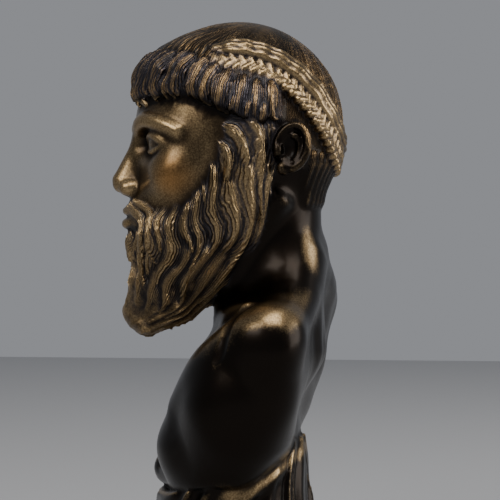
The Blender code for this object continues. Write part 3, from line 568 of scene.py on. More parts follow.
def fold_height(points):
    """Folds of a mantle that fan out from the back, fine behind and broad at the sides."""
    turn = np.degrees(np.arctan2(np.abs(points[..., 0]), points[..., 1] * 1.2))
    fall = np.maximum(BODY_CUT_BACK + 3.0 - points[..., 2], 0.0)
    swept = 25.0 * (1.0 - np.exp(-fall / 25.0))
    lane = turn / (1.0 + 0.075 * swept) + 1.5 * np.sin(0.16 * fall + 0.09 * turn)
    broad = 0.5 + 0.5 * np.cos(2.0 * np.pi * (lane / 10.0 + 0.1 * np.sin(lane * 0.21)) + 0.6)
    fine = 0.5 + 0.5 * np.cos(2.0 * np.pi * (lane / 5.2 + 0.2 * np.sin(lane * 0.33)))
    behind = 1.0 - ease((lane - 26.0) / 16.0)
    before = 1.0 - 0.8 * ease((turn - 104.0) / 30.0)
    foot = ease((points[..., 2] - FOOT_HEIGHT / PART) / 3.0)
    sides = before * (1.0 - 0.6 * behind) * 2.2 * broad ** 1.5
    return foot * (sides + behind * ease(fall / 12.0) * (0.4 + 0.8 * fine))


# The head

def shape_skull(clay):
    """Cranium, cheeks, jaw and the block of the face."""
    clay.add(HEAD, ellipsoid(CAP_CENTRE, CAP_RADII), 3.0)
    clay.add(HEAD, ellipsoid((0, -7.5, 127.0), (20.0, 19.0, 20.0)), 4.0)
    clay.add(HEAD, ellipsoid((0, -12.0, 111.0), (15.5, 16.0, 14.0)), 6.0)
    clay.add(HEAD, ellipsoid((0, -18.8, 104.5), (9.0, 6.6, 6.8)), 5.0)
    for side in (-1, 1):
        clay.add(HEAD, ellipsoid(mirrored((12.8, -16.0, 120.5), side), (6.6, 7.0, 6.5)), 5.0)


def lid(side, lift, radius, count):
    """The edge of a lid over the ball of the eye, from the inner to the outer corner."""
    shares = np.linspace(0.0, 1.0, count)
    turn = np.radians(-38.0 + 112.0 * shares)
    rise = np.radians(lift * np.sin(np.pi * shares ** 0.85) - 3.0)
    away = np.stack([side * np.sin(turn) * np.cos(rise), -np.cos(turn) * np.cos(rise), np.sin(rise)], axis=1)
    return mirrored(EYE_CENTRE, side) + radius * away, away


def shape_eyes(clay):
    """Sockets, brows, and eyes with their lids, all on the usual thirds and fifths of a head."""
    for side in (-1, 1):
        clay.cut(HEAD, ellipsoid(mirrored((11.0, -26.6, 128.9), side), (8.2, 5.4, 4.6)), 2.6)
        brow = twin(side, (2.2, -25.8, 132.2), (10.5, -24.6, 135.0), (18.4, -16.6, 131.6))
        clay.add(HEAD, cord(brow, [1.3, 1.6, 1.8, 1.8, 1.8, 1.8, 1.7, 1.5, 1.2]), 2.4)
        clay.add(HEAD, ellipsoid(mirrored(EYE_CENTRE, side), (EYE_RADIUS, EYE_RADIUS, EYE_RADIUS)), 0.5)
        lids = ((30.0, 6.5, 1.5, 0.55), (21.0, 6.7, 0.62, 0.62), (-19.0, 6.6, 0.55, 0.55))
        for lift, radius, width, thick in lids:
            edge, normals = lid(side, lift, radius, 12)
            sides, upright = frames(edge, normals)
            clay.add(HEAD, sweep(edge, sides, upright, width, thick), 0.35)


def shape_nose(clay):
    """A straight nose that runs on from the brow, with soft wings."""
    bridge = bend((0, -23.4, 133.0), (0, -25.9, 125.4), (0, -28.0, 118.6), 6)
    sides, upright = frames(bridge, np.array((0.0, -1.0, 0.2)))
    clay.add(HEAD, sweep(bridge, sides, upright, np.linspace(2.0, 3.1, 6), np.linspace(2.6, 5.4, 6)), 2.4)
    clay.add(HEAD, ellipsoid((0, -30.9, 118.0), (2.8, 2.3, 2.2)), 1.8)
    for side in (-1, 1):
        clay.add(HEAD, ellipsoid(mirrored((3.2, -28.6, 117.0), side), (1.9, 3.0, 2.1)), 1.2)
        clay.cut(HEAD, ellipsoid(mirrored((1.9, -29.6, 114.6), side), (0.9, 1.6, 1.2)), 0.5)


def shape_mouth(clay):
    """Closed, calm lips."""
    clay.add(HEAD, ellipsoid((0, -23.4, 109.6), (8.6, 5.6, 6.8)), 3.0)
    upper = bend((-6.0, -26.4, 109.7), (0, -29.6, 110.9), (6.0, -26.4, 109.7), 9)
    lower = bend((-5.2, -26.6, 108.4), (0, -29.4, 107.3), (5.2, -26.6, 108.4), 9)
    clay.add(HEAD, cord(upper, [0.5, 0.8, 1.0, 1.1, 1.0, 1.1, 1.0, 0.8, 0.5]), 0.5)
    clay.add(HEAD, cord(lower, [0.5, 0.9, 1.2, 1.4, 1.45, 1.4, 1.2, 0.9, 0.5]), 0.5)


def shape_ears(clay):
    """Ears with a rolled rim, an inner fold, a bowl and a lobe."""
    for side in (-1, 1):
        centre = mirrored(EAR_CENTRE, side)
        out = mirrored((1.0, 0.0, 0.0), side)
        back = np.array((0.0, 1.0, 0.0))
        up = np.array((0.0, 0.12, 1.0))
        clay.add(HEAD, ellipsoid(centre - out * 1.0, (2.8, 4.5, 6.3)), 1.0)
        clay.cut(HEAD, ellipsoid(centre + out * 2.4 - back * 0.6 - up * 0.4, (2.3, 2.6, 4.0)), 0.6)
        turn = np.radians(np.linspace(200.0, -80.0, 18))[:, None]
        rim = centre + out * (1.2 + 0.9 * np.cos(turn)) + back * 4.1 * np.cos(turn) + up * 5.8 * np.sin(turn)
        sides, upright = frames(rim, out)
        radii = np.linspace(0.85, 1.2, 18)
        clay.add(HEAD, sweep(rim, sides, upright, radii, radii), 0.5)
        turn = np.radians(np.linspace(100.0, -70.0, 11))[:, None]
        inner = centre + out * 1.3 + back * (0.4 + 1.9 * np.cos(turn)) + up * (-0.4 + 3.4 * np.sin(turn))
        sides, upright = frames(inner, out)
        clay.add(HEAD, sweep(inner, sides, upright, 0.75, 0.75), 0.6)
        clay.add(HEAD, ellipsoid(centre + out * 0.8 - back * 1.4 - up * 5.6, (1.5, 1.9, 2.0)), 1.2)
        clay.add(HEAD, ellipsoid(centre + out * 0.9 - back * 3.6 - up * 0.8, (1.1, 1.1, 1.7)), 0.7)


# The hair of the head

def band_height(y):
    """Height of the plaits' upper strand over the head's length."""
    return 153.6 - 0.00237 * np.maximum(y + 5.5, 0.0) ** 2.6


def fringe_edge(y):
    """Height of the fringe's lower edge: it drops from the forehead to the temples."""
    return 133.2 + 7.8 * (1.0 - ease((y + 17.0) / 24.0))


def shape_fringe(clay):
    """The thick roll of hair over forehead and temples that carries the fringe's locks."""
    def height(points):
        y, z = points[..., 1], points[..., 2]
        under = ease((z - fringe_edge(y)) / 2.5)
        over = 1.0 - ease((z - fringe_edge(y) - 8.0) / 14.0)
        before_ear = 1.0 - ease((y - 8.5) / 4.0)
        thick = 1.2 + 1.2 * ease((y + 26.0) / 16.0)
        brow = 2.4 * ease((-2.0 - y) / 12.0) * ease((z - 141.0) / 8.0) * (1.0 - ease((z - 154.0) / 9.0))
        return np.maximum(thick * under * over * before_ear, brow)

    clay.swell(HEAD, height, (-30, -34, 127), (30, 12, 168))


def combed(angle, along):
    """The height of fine strands at an angle round the crown, some thicker than others."""
    thin = np.cos(STRANDS_ROUND_CROWN * angle + 1.6 * np.sin(7.0 * angle + 0.15 * along))
    thick = np.cos(0.27 * STRANDS_ROUND_CROWN * angle + 1.1 * np.sin(3.0 * angle - 0.1 * along))
    return thin * (0.7 + 0.3 * np.sin(23.0 * angle)) + 0.6 * thick


def comb_cap(clay):
    """Fine combed strands that run from the crown to the plaits, and over the brow to the fringe."""
    def height(points):
        x, y, z = points[..., 0], points[..., 1] - CROWN[1], points[..., 2]
        radius = np.hypot(x, y)
        angle = np.arctan2(x, y) + 0.12 * np.sin(radius * 0.2)
        behind = ease((z - band_height(points[..., 1]) - 0.5) / 2.0)
        before = ease((15.0 - points[..., 1]) / 5.0) * ease((z - fringe_edge(points[..., 1]) - 5.0) / 4.0)
        away = ease((radius - 8.0) / 10.0)
        return STRAND_RELIEF * combed(angle, radius) * away * np.maximum(behind, before)

    clay.swell(HEAD, height, (-28, -32, 125), (28, 34, 168))


def cap_normals(points):
    """The outward directions of the cap of hair at points on it."""
    return np.array([unit(p) for p in (points - CAP_CENTRE) / CAP_RADII ** 2])


def cap_loop(start, end, count):
    """Points along the plaits' upper strand, by the angle round the head from the face."""
    turn = np.radians(np.linspace(start, end, count))
    height = np.full(count, 150.0)
    for _ in range(30):
        share = np.sqrt(np.maximum(1.0 - ((height - CAP_CENTRE[2]) / CAP_RADII[2]) ** 2, 0.01))
        y = CAP_CENTRE[1] - CAP_RADII[1] * share * np.cos(turn)
        height = 0.5 * height + 0.5 * band_height(y)
    x = CAP_RADII[0] * share * np.sin(turn)
    points = np.stack([x, y, height], axis=1)
    return points, cap_normals(points)


def plait_band(clay):
    """Two strands round the head: one with swellings above, and a beaded plait below it."""
    count = 140
    points, normals = cap_loop(58.0, 302.0, count)
    sides, upright = frames(points, normals)
    ends = np.minimum(np.arange(count), np.arange(count)[::-1])
    taper = np.minimum(1.0, ends / 18.0 + 0.2)
    flatter = 1.0 - 0.45 * ease((points[:, 1] - 18.0) / 12.0)
    raised = points + normals * ((1.5 * taper - 0.7) * flatter)[:, None]
    fuller = 1.0 + 0.13 * np.cos(np.arange(count) * 1.05)
    thick = 2.1 * taper * flatter * fuller
    clay.add(HEAD, sweep(raised, sides, upright, 3.0 * taper, thick, 3.0, 0.25), 0.4)
    downward = np.sign(points[count // 2][2] - (points + sides)[count // 2][2])
    lay_beads(clay, points + sides * 4.9 * downward - normals * 0.2, normals, sides)


def lay_beads(clay, path, normals, sides):
    """The plait's beads, in slanting pairs along its path."""
    lengths = np.concatenate([[0.0], np.cumsum(np.linalg.norm(np.diff(path, axis=0), axis=1))])
    beads = int(lengths[-1] / PLAIT_BEAD)
    for i in range(1, beads - 1):
        place = (i + 0.5) * lengths[-1] / beads
        at, normal, side = (np.array([np.interp(place, lengths, source[:, k]) for k in range(3)])
                            for source in (path, normals, sides))
        along = unit(np.cross(side, normal))
        for row in (-1, 1):
            slant = unit(side * row + along * 0.8)
            middle = at + side * row * 1.15 + along * (0.24 * PLAIT_BEAD * row) + normal * 0.3
            bead = np.array([middle - slant, middle + slant])
            across = np.cross(slant, normal)
            clay.add(HEAD, sweep(bead, [across] * 2, [normal] * 2, 0.45 * PLAIT_BEAD, 1.5), 0.25)


def nape_hair(clay):
    """The short hair combed down the nape."""
    def height(points):
        x, y, z = points[..., 0], points[..., 1] - 6.0, points[..., 2]
        angle = np.arctan2(x, y)
        behind = ease((y - 10.0) / 4.0)
        short = ease((z - 110.5) / 3.0) * (1.0 - ease((z - 123.0) / 2.0))
        return behind * short * (0.9 + 0.16 * np.cos(54 * angle + 0.25 * z))

    clay.swell(HEAD, height, (-26, 12, 108), (26, 36, 126))


def rolled_hair(clay):
    """The rolled hair between the plaits and the nape, and the lock behind each ear."""
    count = 40
    turn = np.radians(np.linspace(112.0, 248.0, count))
    share = 0.87
    x = CAP_RADII[0] * share * np.sin(turn)
    y = CAP_CENTRE[1] - CAP_RADII[1] * share * np.cos(turn)
    points = np.stack([x, y, 125.6 + 1.2 * np.cos(turn)], axis=1)
    normals = cap_normals(points)
    sides, upright = frames(points, normals)
    clay.add(HEAD, sweep(points, sides, upright, 2.6, 2.1), 0.8)
    for i in range(2, count - 2, 2):
        roll = np.array([points[i] - sides[i] * 1.9, points[i] + sides[i] * 1.9]) + normals[i] * 1.0
        along = np.cross(sides[i], normals[i])
        clay.add(HEAD, sweep(roll, [along] * 2, [normals[i]] * 2, 1.3, 1.5), 0.3)
    for side in (-1, 1):
        path = twin(side, (21.2, 19.6, 134.6), (21.8, 21.2, 129.8), (20.0, 20.6, 124.0))
        clay.add(HEAD, cord(path, [0.6, 1.0, 1.3, 1.5, 1.5, 1.5, 1.3, 1.0, 0.6]), 0.5)


def lay_fringe(clay, skin, wander):
    """A layer of curved locks that fall over the roll and hook at their points, and short ones between."""
    spacing = FRINGE_SPAN / LOCKS_A_SIDE
    for row, (rise, reach, half) in enumerate(FRINGE_LAYERS):
        for side in (-1, 1):
            for i in range(LOCKS_A_SIDE):
                angle = np.radians(FRINGE_START + spacing * (i + 0.5 * (row % 2)))
                y = CAP_CENTRE[1] - FRINGE_RADII[1] * np.cos(angle)
                shorter = 1.0 - 0.3 * i / LOCKS_A_SIDE
                top = fringe_edge(y) + rise * shorter + wander.uniform(-0.8, 0.8)
                root = (side * FRINGE_RADII[0] * np.sin(angle), y, top)
                hook = wander.uniform(0.3, 1.3)
                stray = wander.uniform(-0.25, 0.25)
                ahead = 0.9 - 0.7 * i / LOCKS_A_SIDE

                def flow(point, normal, share, side=side, hook=hook, ahead=ahead + stray):
                    forward = np.array((-0.3 * side, -1.0, 0.0)) * ahead * (1.0 - share)
                    heading = unit(forward + np.array((0.0, 0.0, -1.0)))
                    return swirled(heading, normal, side * hook * ease(share * 2.0 - 1.0))

                path, normals = comb(skin, root, flow, reach * shorter * wander.uniform(0.88, 1.14), 11)
                width = half * wander.uniform(0.8, 1.15)
                lift = wander.uniform(0.1, 0.7)
                relief = FRINGE_THICKNESS * RIDGE_RELIEF
                clay.add(HEAD, lock(path, normals, width, FRINGE_THICKNESS, lift, 1.6, relief), 0.3)


# The beard

def cheek_line(share, side):
    """The beard's upper edge, from the sideburn at 0 to the corner of the mouth at 1."""
    edge = bend((21.0, 1.5, 134.0), (18.8, -7.0, 116.0), (9.5, -23.5, 110.5), 41)
    return mirrored(edge[int(round(share * 40))], side)


def jaw_line(share, side):
    """The beard's rear edge, from the sideburn at 0 to under the jaw at 1."""
    edge = bend((21.4, 4.0, 133.5), (19.8, 3.6, 113.0), (12.5, -5.5, 96.0), 41)
    return mirrored(edge[int(round(share * 40))], side)


def beard_mass(clay):
    """The beard's body: a wedge from the cheeks to its blunt tip, and the sideburns."""
    path = [(0, -8.6, 110.0), (0, -11.2, 101.5), (0, -14.4, 95.0), (0, -19.2, 88.4), (0, -26.0, 81.2)]
    widths = [16.6, 15.4, 12.8, 9.4, 5.0]
    depths = [14.8, 13.0, 11.4, 9.4, 5.6]
    sides, upright = frames(path, np.array((0.0, -1.0, 0.0)))
    clay.add(HEAD, sweep(path, sides, upright, widths, depths), 2.0)
    clay.add(HEAD, ellipsoid((0.0, -22.0, 101.5), (7.0, 5.4, 6.4)), 3.0)
    for side in (-1, 1):
        clay.add(HEAD, ellipsoid(mirrored((9.0, -19.0, 104.0), side), (5.5, 5.6, 7.0)), 3.0)
        for share in np.linspace(0.0, 1.0, 13):
            radius = 1.6 + 4.4 * share
            middle = jaw_line(share, side) - mirrored((radius * 0.8, 0.6 * radius, 0.0), side)
            clay.add(HEAD, ellipsoid(middle, (radius, radius, radius)), 3.0)
            cheek = cheek_line(share, side) * 0.6 + jaw_line(share, side) * 0.4
            inside = cheek - mirrored((3.0 - 1.6 * (1.0 - share) ** 2, 0.0, 0.0), side)
            clay.add(HEAD, ellipsoid(inside, (3.6, 5.2 + 1.8 * share, 4.6)), 3.0)


def beard_course(x, y, z):
    """The turn round the beard's curved middle, the distance from it, and the way down along it."""
    inward = BEARD_REACH - np.hypot(y - BEARD_HUB[0], z - BEARD_HUB[1])
    down = BEARD_REACH * np.arctan2(BEARD_HUB[1] - z, y - BEARD_HUB[0])
    return np.arctan2(x, inward), np.hypot(x, inward), down


def beard_sway(turn, down):
    """How far the beard's hair swings to either side, from -1 to 1."""
    return np.sin(2.0 * np.pi * down / BEARD_WAVE + 1.3 * turn + 0.9 * np.sin(4.0 * turn))


def shingled(turn, radius, down, wander):
    """The height of rows of waving locks, by the turn round the beard, its radius and the way down it."""
    found = np.zeros_like(turn)
    for number, (start, length, count, crest) in enumerate(BEARD_ROWS):
        chance = wander.uniform(-1.0, 1.0, (4, count)).astype(np.float32)
        pitch = 2.0 * np.pi * np.maximum(radius, 2.0) / count
        place = turn * count / (2.0 * np.pi) + 0.5 * number + beard_sway(turn, down) / pitch
        nearest = np.round(place)
        for neighbour in (-1, 0, 1):
            index = (nearest + neighbour).astype(int) % count
            shift, longer, taller, curl = chance[:, index]
            share = (down - start - 3.0 * shift) / (length * (1.0 + 0.3 * longer))
            inside = np.clip(share, 0.0, 1.0)
            hooked = (0.3 + 0.4 * curl) * np.maximum(inside - 0.55, 0.0) ** 2 / 0.2
            offset = place - nearest - neighbour - 0.15 * shift - hooked
            width = 0.60 * (1.0 - 0.7 * ease((inside - 0.6) / 0.4)) * (0.6 + 0.4 * ease(inside / 0.25))
            across = np.clip(offset / width, -1.0, 1.0)
            body = ease(share / 0.25) * (1.0 - ease((share - 0.88) / 0.12))
            hairs = 1.0 + RIDGE_RELIEF * np.cos(2.0 * np.pi * across)
            rise = (1.0 - across ** 2) * hairs * (0.65 + 0.35 * inside) * body
            tall = crest * (1.0 + 0.35 * taller) * np.minimum(1.0, pitch / 2.6)
            tall = tall * (1.0 - 0.55 * ease((down - 27.0) / 8.0))
            found = np.maximum(found, rise * tall)
    return found


def lay_beard(clay, wander):
    """The beard with its long locks, which hang from the cheeks and sweep forward to the tip."""
    beard = Clay(CLAY_LOW, CLAY_HIGH, clay.step)
    beard_mass(beard)

    def height(points):
        turn, radius, down = beard_course(*(points[..., i] for i in range(3)))
        return shingled(turn, radius, down, wander)

    beard.swell(HEAD, height, (-26, -34, 72), (26, 12, 140))
    clay.join(beard, 0.9)
    return beard


def lay_moustache(clay, skin, wander):
    """Locks that part under the nose and fall past the mouth into the beard, and a tuft below the lip."""
    for side in (-1, 1):
        for i in range(3):
            root = mirrored((1.2 + 1.9 * i, -29.6 + 1.1 * i, 112.6 + 0.5 * i), side)
            lean = wander.uniform(-0.1, 0.1)

            def flow(point, normal, share, side=side, lean=lean):
                outward = np.array((side, 0.35, 0.0)) * 1.7 * (1.0 - ease(share / 0.5))
                heading = unit(outward + np.array((0.0, 0.0, -1.0)))
                return swirled(heading, normal, side * (lean + 0.25 * np.sin(8.0 * share)))

            path, normals = comb(skin, root, flow, 31.0 - 3.0 * i, 20)
            clay.add(HEAD, lock(path, normals, 1.15, 0.9, 0.1, 1.0, 0.1), 0.35)
    for i in range(-2, 3):
        root = (1.3 * i, -28.5, 105.6 - 0.3 * abs(i))

        def tuft_flow(point, normal, share, i=i):
            return unit(np.array((0.25 * i * (share - 0.3), 0.0, -1.0)))

        path, normals = comb(skin, root, tuft_flow, 9.0, 8)
        clay.add(HEAD, lock(path, normals, 1.2, 1.1, 0.3, 1.0, 0.1), 0.3)


# From clay to bronze

def model_clay(step):
    """The whole figure as a block of distances, and the blocks of beard, band, fringe and moustache."""
    clay = Clay(CLAY_LOW, CLAY_HIGH, step)
    shape_torso(clay)
    trim_torso(clay)
    shape_support(clay)
    shape_roll(clay)
    shape_foot(clay)
    shape_skull(clay)
    shape_eyes(clay)
    shape_nose(clay)
    shape_mouth(clay)
    wander = np.random.default_rng(11)
    comb_cap(clay)
    shape_fringe(clay)
    beard = lay_beard(clay, wander)
    skin = Clay(CLAY_LOW, CLAY_HIGH, step)
    skin.field = clay.field.copy()
    nape_hair(clay)
    rolled_hair(clay)
    band = Clay(CLAY_LOW, CLAY_HIGH, step)
    plait_band(band)
    clay.join(band, 0.4)
    fringe = Clay(CLAY_LOW, CLAY_HIGH, step)
    lay_fringe(fringe, skin, wander)
    clay.join(fringe, 0.3)
    shape_ears(clay)
    moustache = Clay(CLAY_LOW, CLAY_HIGH, step)
    lay_moustache(moustache, skin, wander)
    clay.join(moustache, 0.5)
    return clay, beard, band, fringe, moustache


def skin_mesh(clay):
    """The clay's surface as a mesh, in metres."""
    grid = openvdb.FloatGrid(CLAY_FAR)
    grid.copyFromArray(np.clip(clay.field, -CLAY_FAR, CLAY_FAR))
    points, quads = grid.convertToQuads(0.0)
    points = (points * clay.step + clay.low) * PART
    mesh = bpy.data.meshes.new("zeus_bust")
    mesh.from_pydata(points.tolist(), [], quads.tolist())
    return mesh


def largest_body(mesh):
    """Drop any crumb that isn't joined to the bust."""
    form = bmesh.new()
    form.from_mesh(mesh)
    form.verts.ensure_lookup_table()
    unseen = set(form.verts)
    bodies = []
    while unseen:
        found = [unseen.pop()]
        for vertex in found:
            for edge in vertex.link_edges:
                other = edge.other_vert(vertex)
                if other in unseen:
                    unseen.remove(other)
                    found.append(other)
        bodies.append(found)
    bodies.sort(key=len)
    crumbs = [vertex for body in bodies[:-1] for vertex in body]
    bmesh.ops.delete(form, geom=crumbs, context="VERTS")
    form.to_mesh(mesh)
    form.free()


def cut_flat(mesh):
    """Cut the underside flat at the origin's height."""
    form = bmesh.new()
    form.from_mesh(mesh)
    everything = form.verts[:] + form.edges[:] + form.faces[:]
    bmesh.ops.bisect_plane(form, geom=everything, dist=1e-7, plane_co=(0, 0, 0), plane_no=(0, 0, 1),
                           clear_inner=True)
    rim = [edge for edge in form.edges if edge.is_boundary]
    bmesh.ops.contextual_create(form, geom=rim)
    bmesh.ops.triangulate(form, faces=form.faces[:])
    bmesh.ops.recalc_face_normals(form, faces=form.faces[:])
    form.to_mesh(mesh)
    form.free()


def thinned(mesh, budget):
    """The same surface with fewer triangles, kept where it bends most."""
    thick = bpy.data.objects.new("clay_skin", mesh)
    bpy.context.scene.collection.objects.link(thick)
    fewer = thick.modifiers.new("fewer faces", "DECIMATE")
    fewer.ratio = budget / (2.0 * len(mesh.polygons))
    fewer.use_collapse_triangulate = True
    depsgraph = bpy.context.evaluated_depsgraph_get()
    result = bpy.data.meshes.new_from_object(thick.evaluated_get(depsgraph))
    bpy.data.objects.remove(thick)
    return result


# The patina's marks

def averaged(field, reach):
    """The field with each point replaced by the mean of the points around it."""
    for axis in range(3):
        padding = [(reach + 1, reach) if i == axis else (0, 0) for i in range(3)]
        total = np.cumsum(np.pad(field, padding, mode="edge"), axis=axis, dtype=np.float64)
        last = np.take(total, range(2 * reach + 1, total.shape[axis]), axis=axis)
        first = np.take(total, range(total.shape[axis] - 2 * reach - 1), axis=axis)
        field = ((last - first) / (2 * reach + 1)).astype(np.float32)
    return field


def sampled(clay, field, points):
    """The field's values at points given in parts."""
    place = (points - clay.low) / clay.step
    base = np.clip(np.floor(place).astype(int), 0, clay.count - 2)
    share = place - base
    found = 0.0
    for corner in np.ndindex(2, 2, 2):
        weight = np.prod(np.where(corner, share, 1.0 - share), axis=1)
        i, j, k = (base + corner).T
        found = found + weight * field[i, j, k]
    return found


def store(mesh, name, values):
    """Keep a number for each point of the mesh, for the material to read."""
    attribute = mesh.attributes.new(name, "FLOAT", "POINT")
    attribute.data.foreach_set("value", values.astype(np.float32))


def covered(block, points, reach):
    """How surely points on the skin belong to a block that was laid on it, from 0 to 1."""
    return 1.0 - ease(sampled(block, block.field, points) / reach)


def hairline(y):
    """Height of the hair's lower edge: the fringe in front, then down behind the ear to the nape."""
    return fringe_edge(y) - 22.0 * ease((y - 15.0) / 7.0)


def strand_cycles(points):
    """Where points lie across the fine strands of cap, fringe and beard, counted in strands."""
    x, y, z = points.T
    back = y - CROWN[1]
    cap = np.arctan2(x, back) * STRANDS_ON_CAP / (2.0 * np.pi)
    angle = np.abs(np.arctan2(x, CAP_CENTRE[1] - y))
    lean = np.maximum(0.9 - 0.39 * angle, 0.0)
    above = np.maximum(z - fringe_edge(y), 0.0)
    fringe = (FRINGE_RADII[1] * angle - lean * above ** 2 / FRINGE_RADII[1]) / STRAND_PITCH
    turn, _, down = beard_course(x, y, z)
    beard = (turn * BEARD_GIRTH + 1.2 * beard_sway(turn, down)) / STRAND_PITCH
    return cap, fringe, beard


def mark_strands(mesh, points, blocks):
    """Mark the strands of cap, fringe and beard, their shares of the skin, and where a violet reflection is
    painted on the dark of fringe, beard and band.
    """
    beard, band, fringe, moustache = blocks[1:]
    head = HEAD.inward(points)
    y, z = head[:, 1], head[:, 2]
    on_beard = np.maximum(covered(beard, points, 0.8), covered(moustache, points, 0.5))
    on_band = covered(band, points, 0.6)
    on_fringe = np.maximum(covered(fringe, points, 0.6), ease((147.0 - z) / 2.0) * ease((12.0 - y) / 2.0))
    in_hair = ease((z - hairline(y)) / 1.5) * (1.0 - on_band)
    near_crown = ease(np.hypot(head[:, 0], y - CROWN[1]) / 12.0)
    cap, fringe_place, beard_place = strand_cycles(head)
    store(mesh, "cap_place", cap)
    store(mesh, "cap_share", in_hair * (1.0 - on_fringe) * near_crown)
    store(mesh, "fringe_place", fringe_place)
    store(mesh, "fringe_share", in_hair * on_fringe)
    store(mesh, "beard_place", beard_place)
    store(mesh, "beard_share", on_beard * (1.0 - in_hair))
    store(mesh, "painted_reflection", np.maximum(np.maximum(in_hair * on_fringe, on_beard), 0.7 * on_band))
    return in_hair, on_beard, on_band


def bump_at(points, centre, radii):
    """A soft spot: 1 at its centre and 0 from its radii on."""
    away = np.sqrt((((points - np.array(centre)) / np.array(radii)) ** 2).sum(axis=1))
    return 1.0 - ease(away)


def vertex_vectors(mesh, name):
    """One vector for each point of the mesh."""
    values = np.empty(len(mesh.vertices) * 3, np.float32)
    mesh.vertices.foreach_get(name, values)
    return values.reshape(-1, 3)


def body_wear_and_highlights(points, upward, proud):
    """How far the torso, the mantle, its roll and the back of the neck turn to brass: wear, with painted
    highlights on the shoulders' upper faces, the roll and the neck, and painted shade on the mantle's front.
    """
    x, y, z = points.T
    lower_edge = body_cut(x, y)
    # Brass on the shoulders: wear where they stand proud, and a painted highlight on faces that turn upward
    torso = SHOULDER_WEAR_AND_HIGHLIGHT * ease((upward - 0.15) / 0.5) * proud * ease((92.0 - z) / 6.0)
    # The folds' brass fades towards the front as painted shade
    draped = RUBBED_FOLDS * ease((lower_edge + 1.0 - z) / 2.0) * (0.3 + 0.7 * ease((y + 1.0) / 6.0))
    # A painted highlight along the mantle's roll, held off the front, which is left dark as painted shade
    from_roll = np.abs(z - lower_edge + 1.4)
    rolled = ROLL_HIGHLIGHT * (1.0 - ease(from_roll / 3.0)) * ease((y + 1.0) / 5.0)
    # A painted highlight: a streak of brass down the back of the neck, where the rim light catches its edge
    neck_highlight = NECK_HIGHLIGHT * bump_at(points, (9.5, 22.0, 95.0), (7.0, 4.4, 16.0))
    return np.maximum.reduce([torso, draped, rolled, neck_highlight])


def rubbed_head(head, proud, in_hair, on_beard, on_band):
    """How far the face, the beard, the combed hair and the plaits are worn to brass."""
    y, z = head[:, 1], head[:, 2]
    face = ease((z - 104.0) / 4.0) * ease((hairline(y) - z) / 2.0) * ease((4.0 - y) / 6.0)
    darker = 1.0 - 0.3 * ease((-8.0 - y) / 10.0) - 0.2 * ease((z - 149.0) / 6.0)
    combed = in_hair * ease((z - 118.0) / 10.0) * darker
    return np.maximum.reduce([RUBBED_FACE * face * (0.4 + proud), RUBBED_BEARD * on_beard,
                              RUBBED_CAP * combed, RUBBED_BAND * on_band])


def mark_patina(mesh, blocks):
    """Mark how proud each point stands of the forms around it, and how far it turns to brass by wear and by
    painted highlights.
    """
    clay = blocks[0]
    points = vertex_vectors(mesh, "co") / PART
    head = HEAD.inward(points)
    upward = vertex_vectors(mesh, "normal")[:, 2]
    near = sampled(clay, averaged(clay.field, 2), points)
    wide = sampled(clay, averaged(clay.field, 7), points)
    proud = np.clip(0.5 + wide * 0.45, 0.0, 1.0)
    in_hair, on_beard, on_band = mark_strands(mesh, points, blocks)
    wear_and_highlight = np.maximum(body_wear_and_highlights(points, upward, proud),
                        rubbed_head(head, proud, in_hair, on_beard, on_band))
    warm = sum(bump_at(head, (17.0 * side, -17.0, 120.0), (7.0, 8.0, 8.5)) for side in (-1, 1))
    store(mesh, "raised", np.clip(0.5 + near * 2.2, 0.0, 1.0))
    store(mesh, "wear_and_highlight", wear_and_highlight)
    store(mesh, "warm", np.maximum(warm * (1.0 - on_beard), WARM_CAP * in_hair))


# Materials

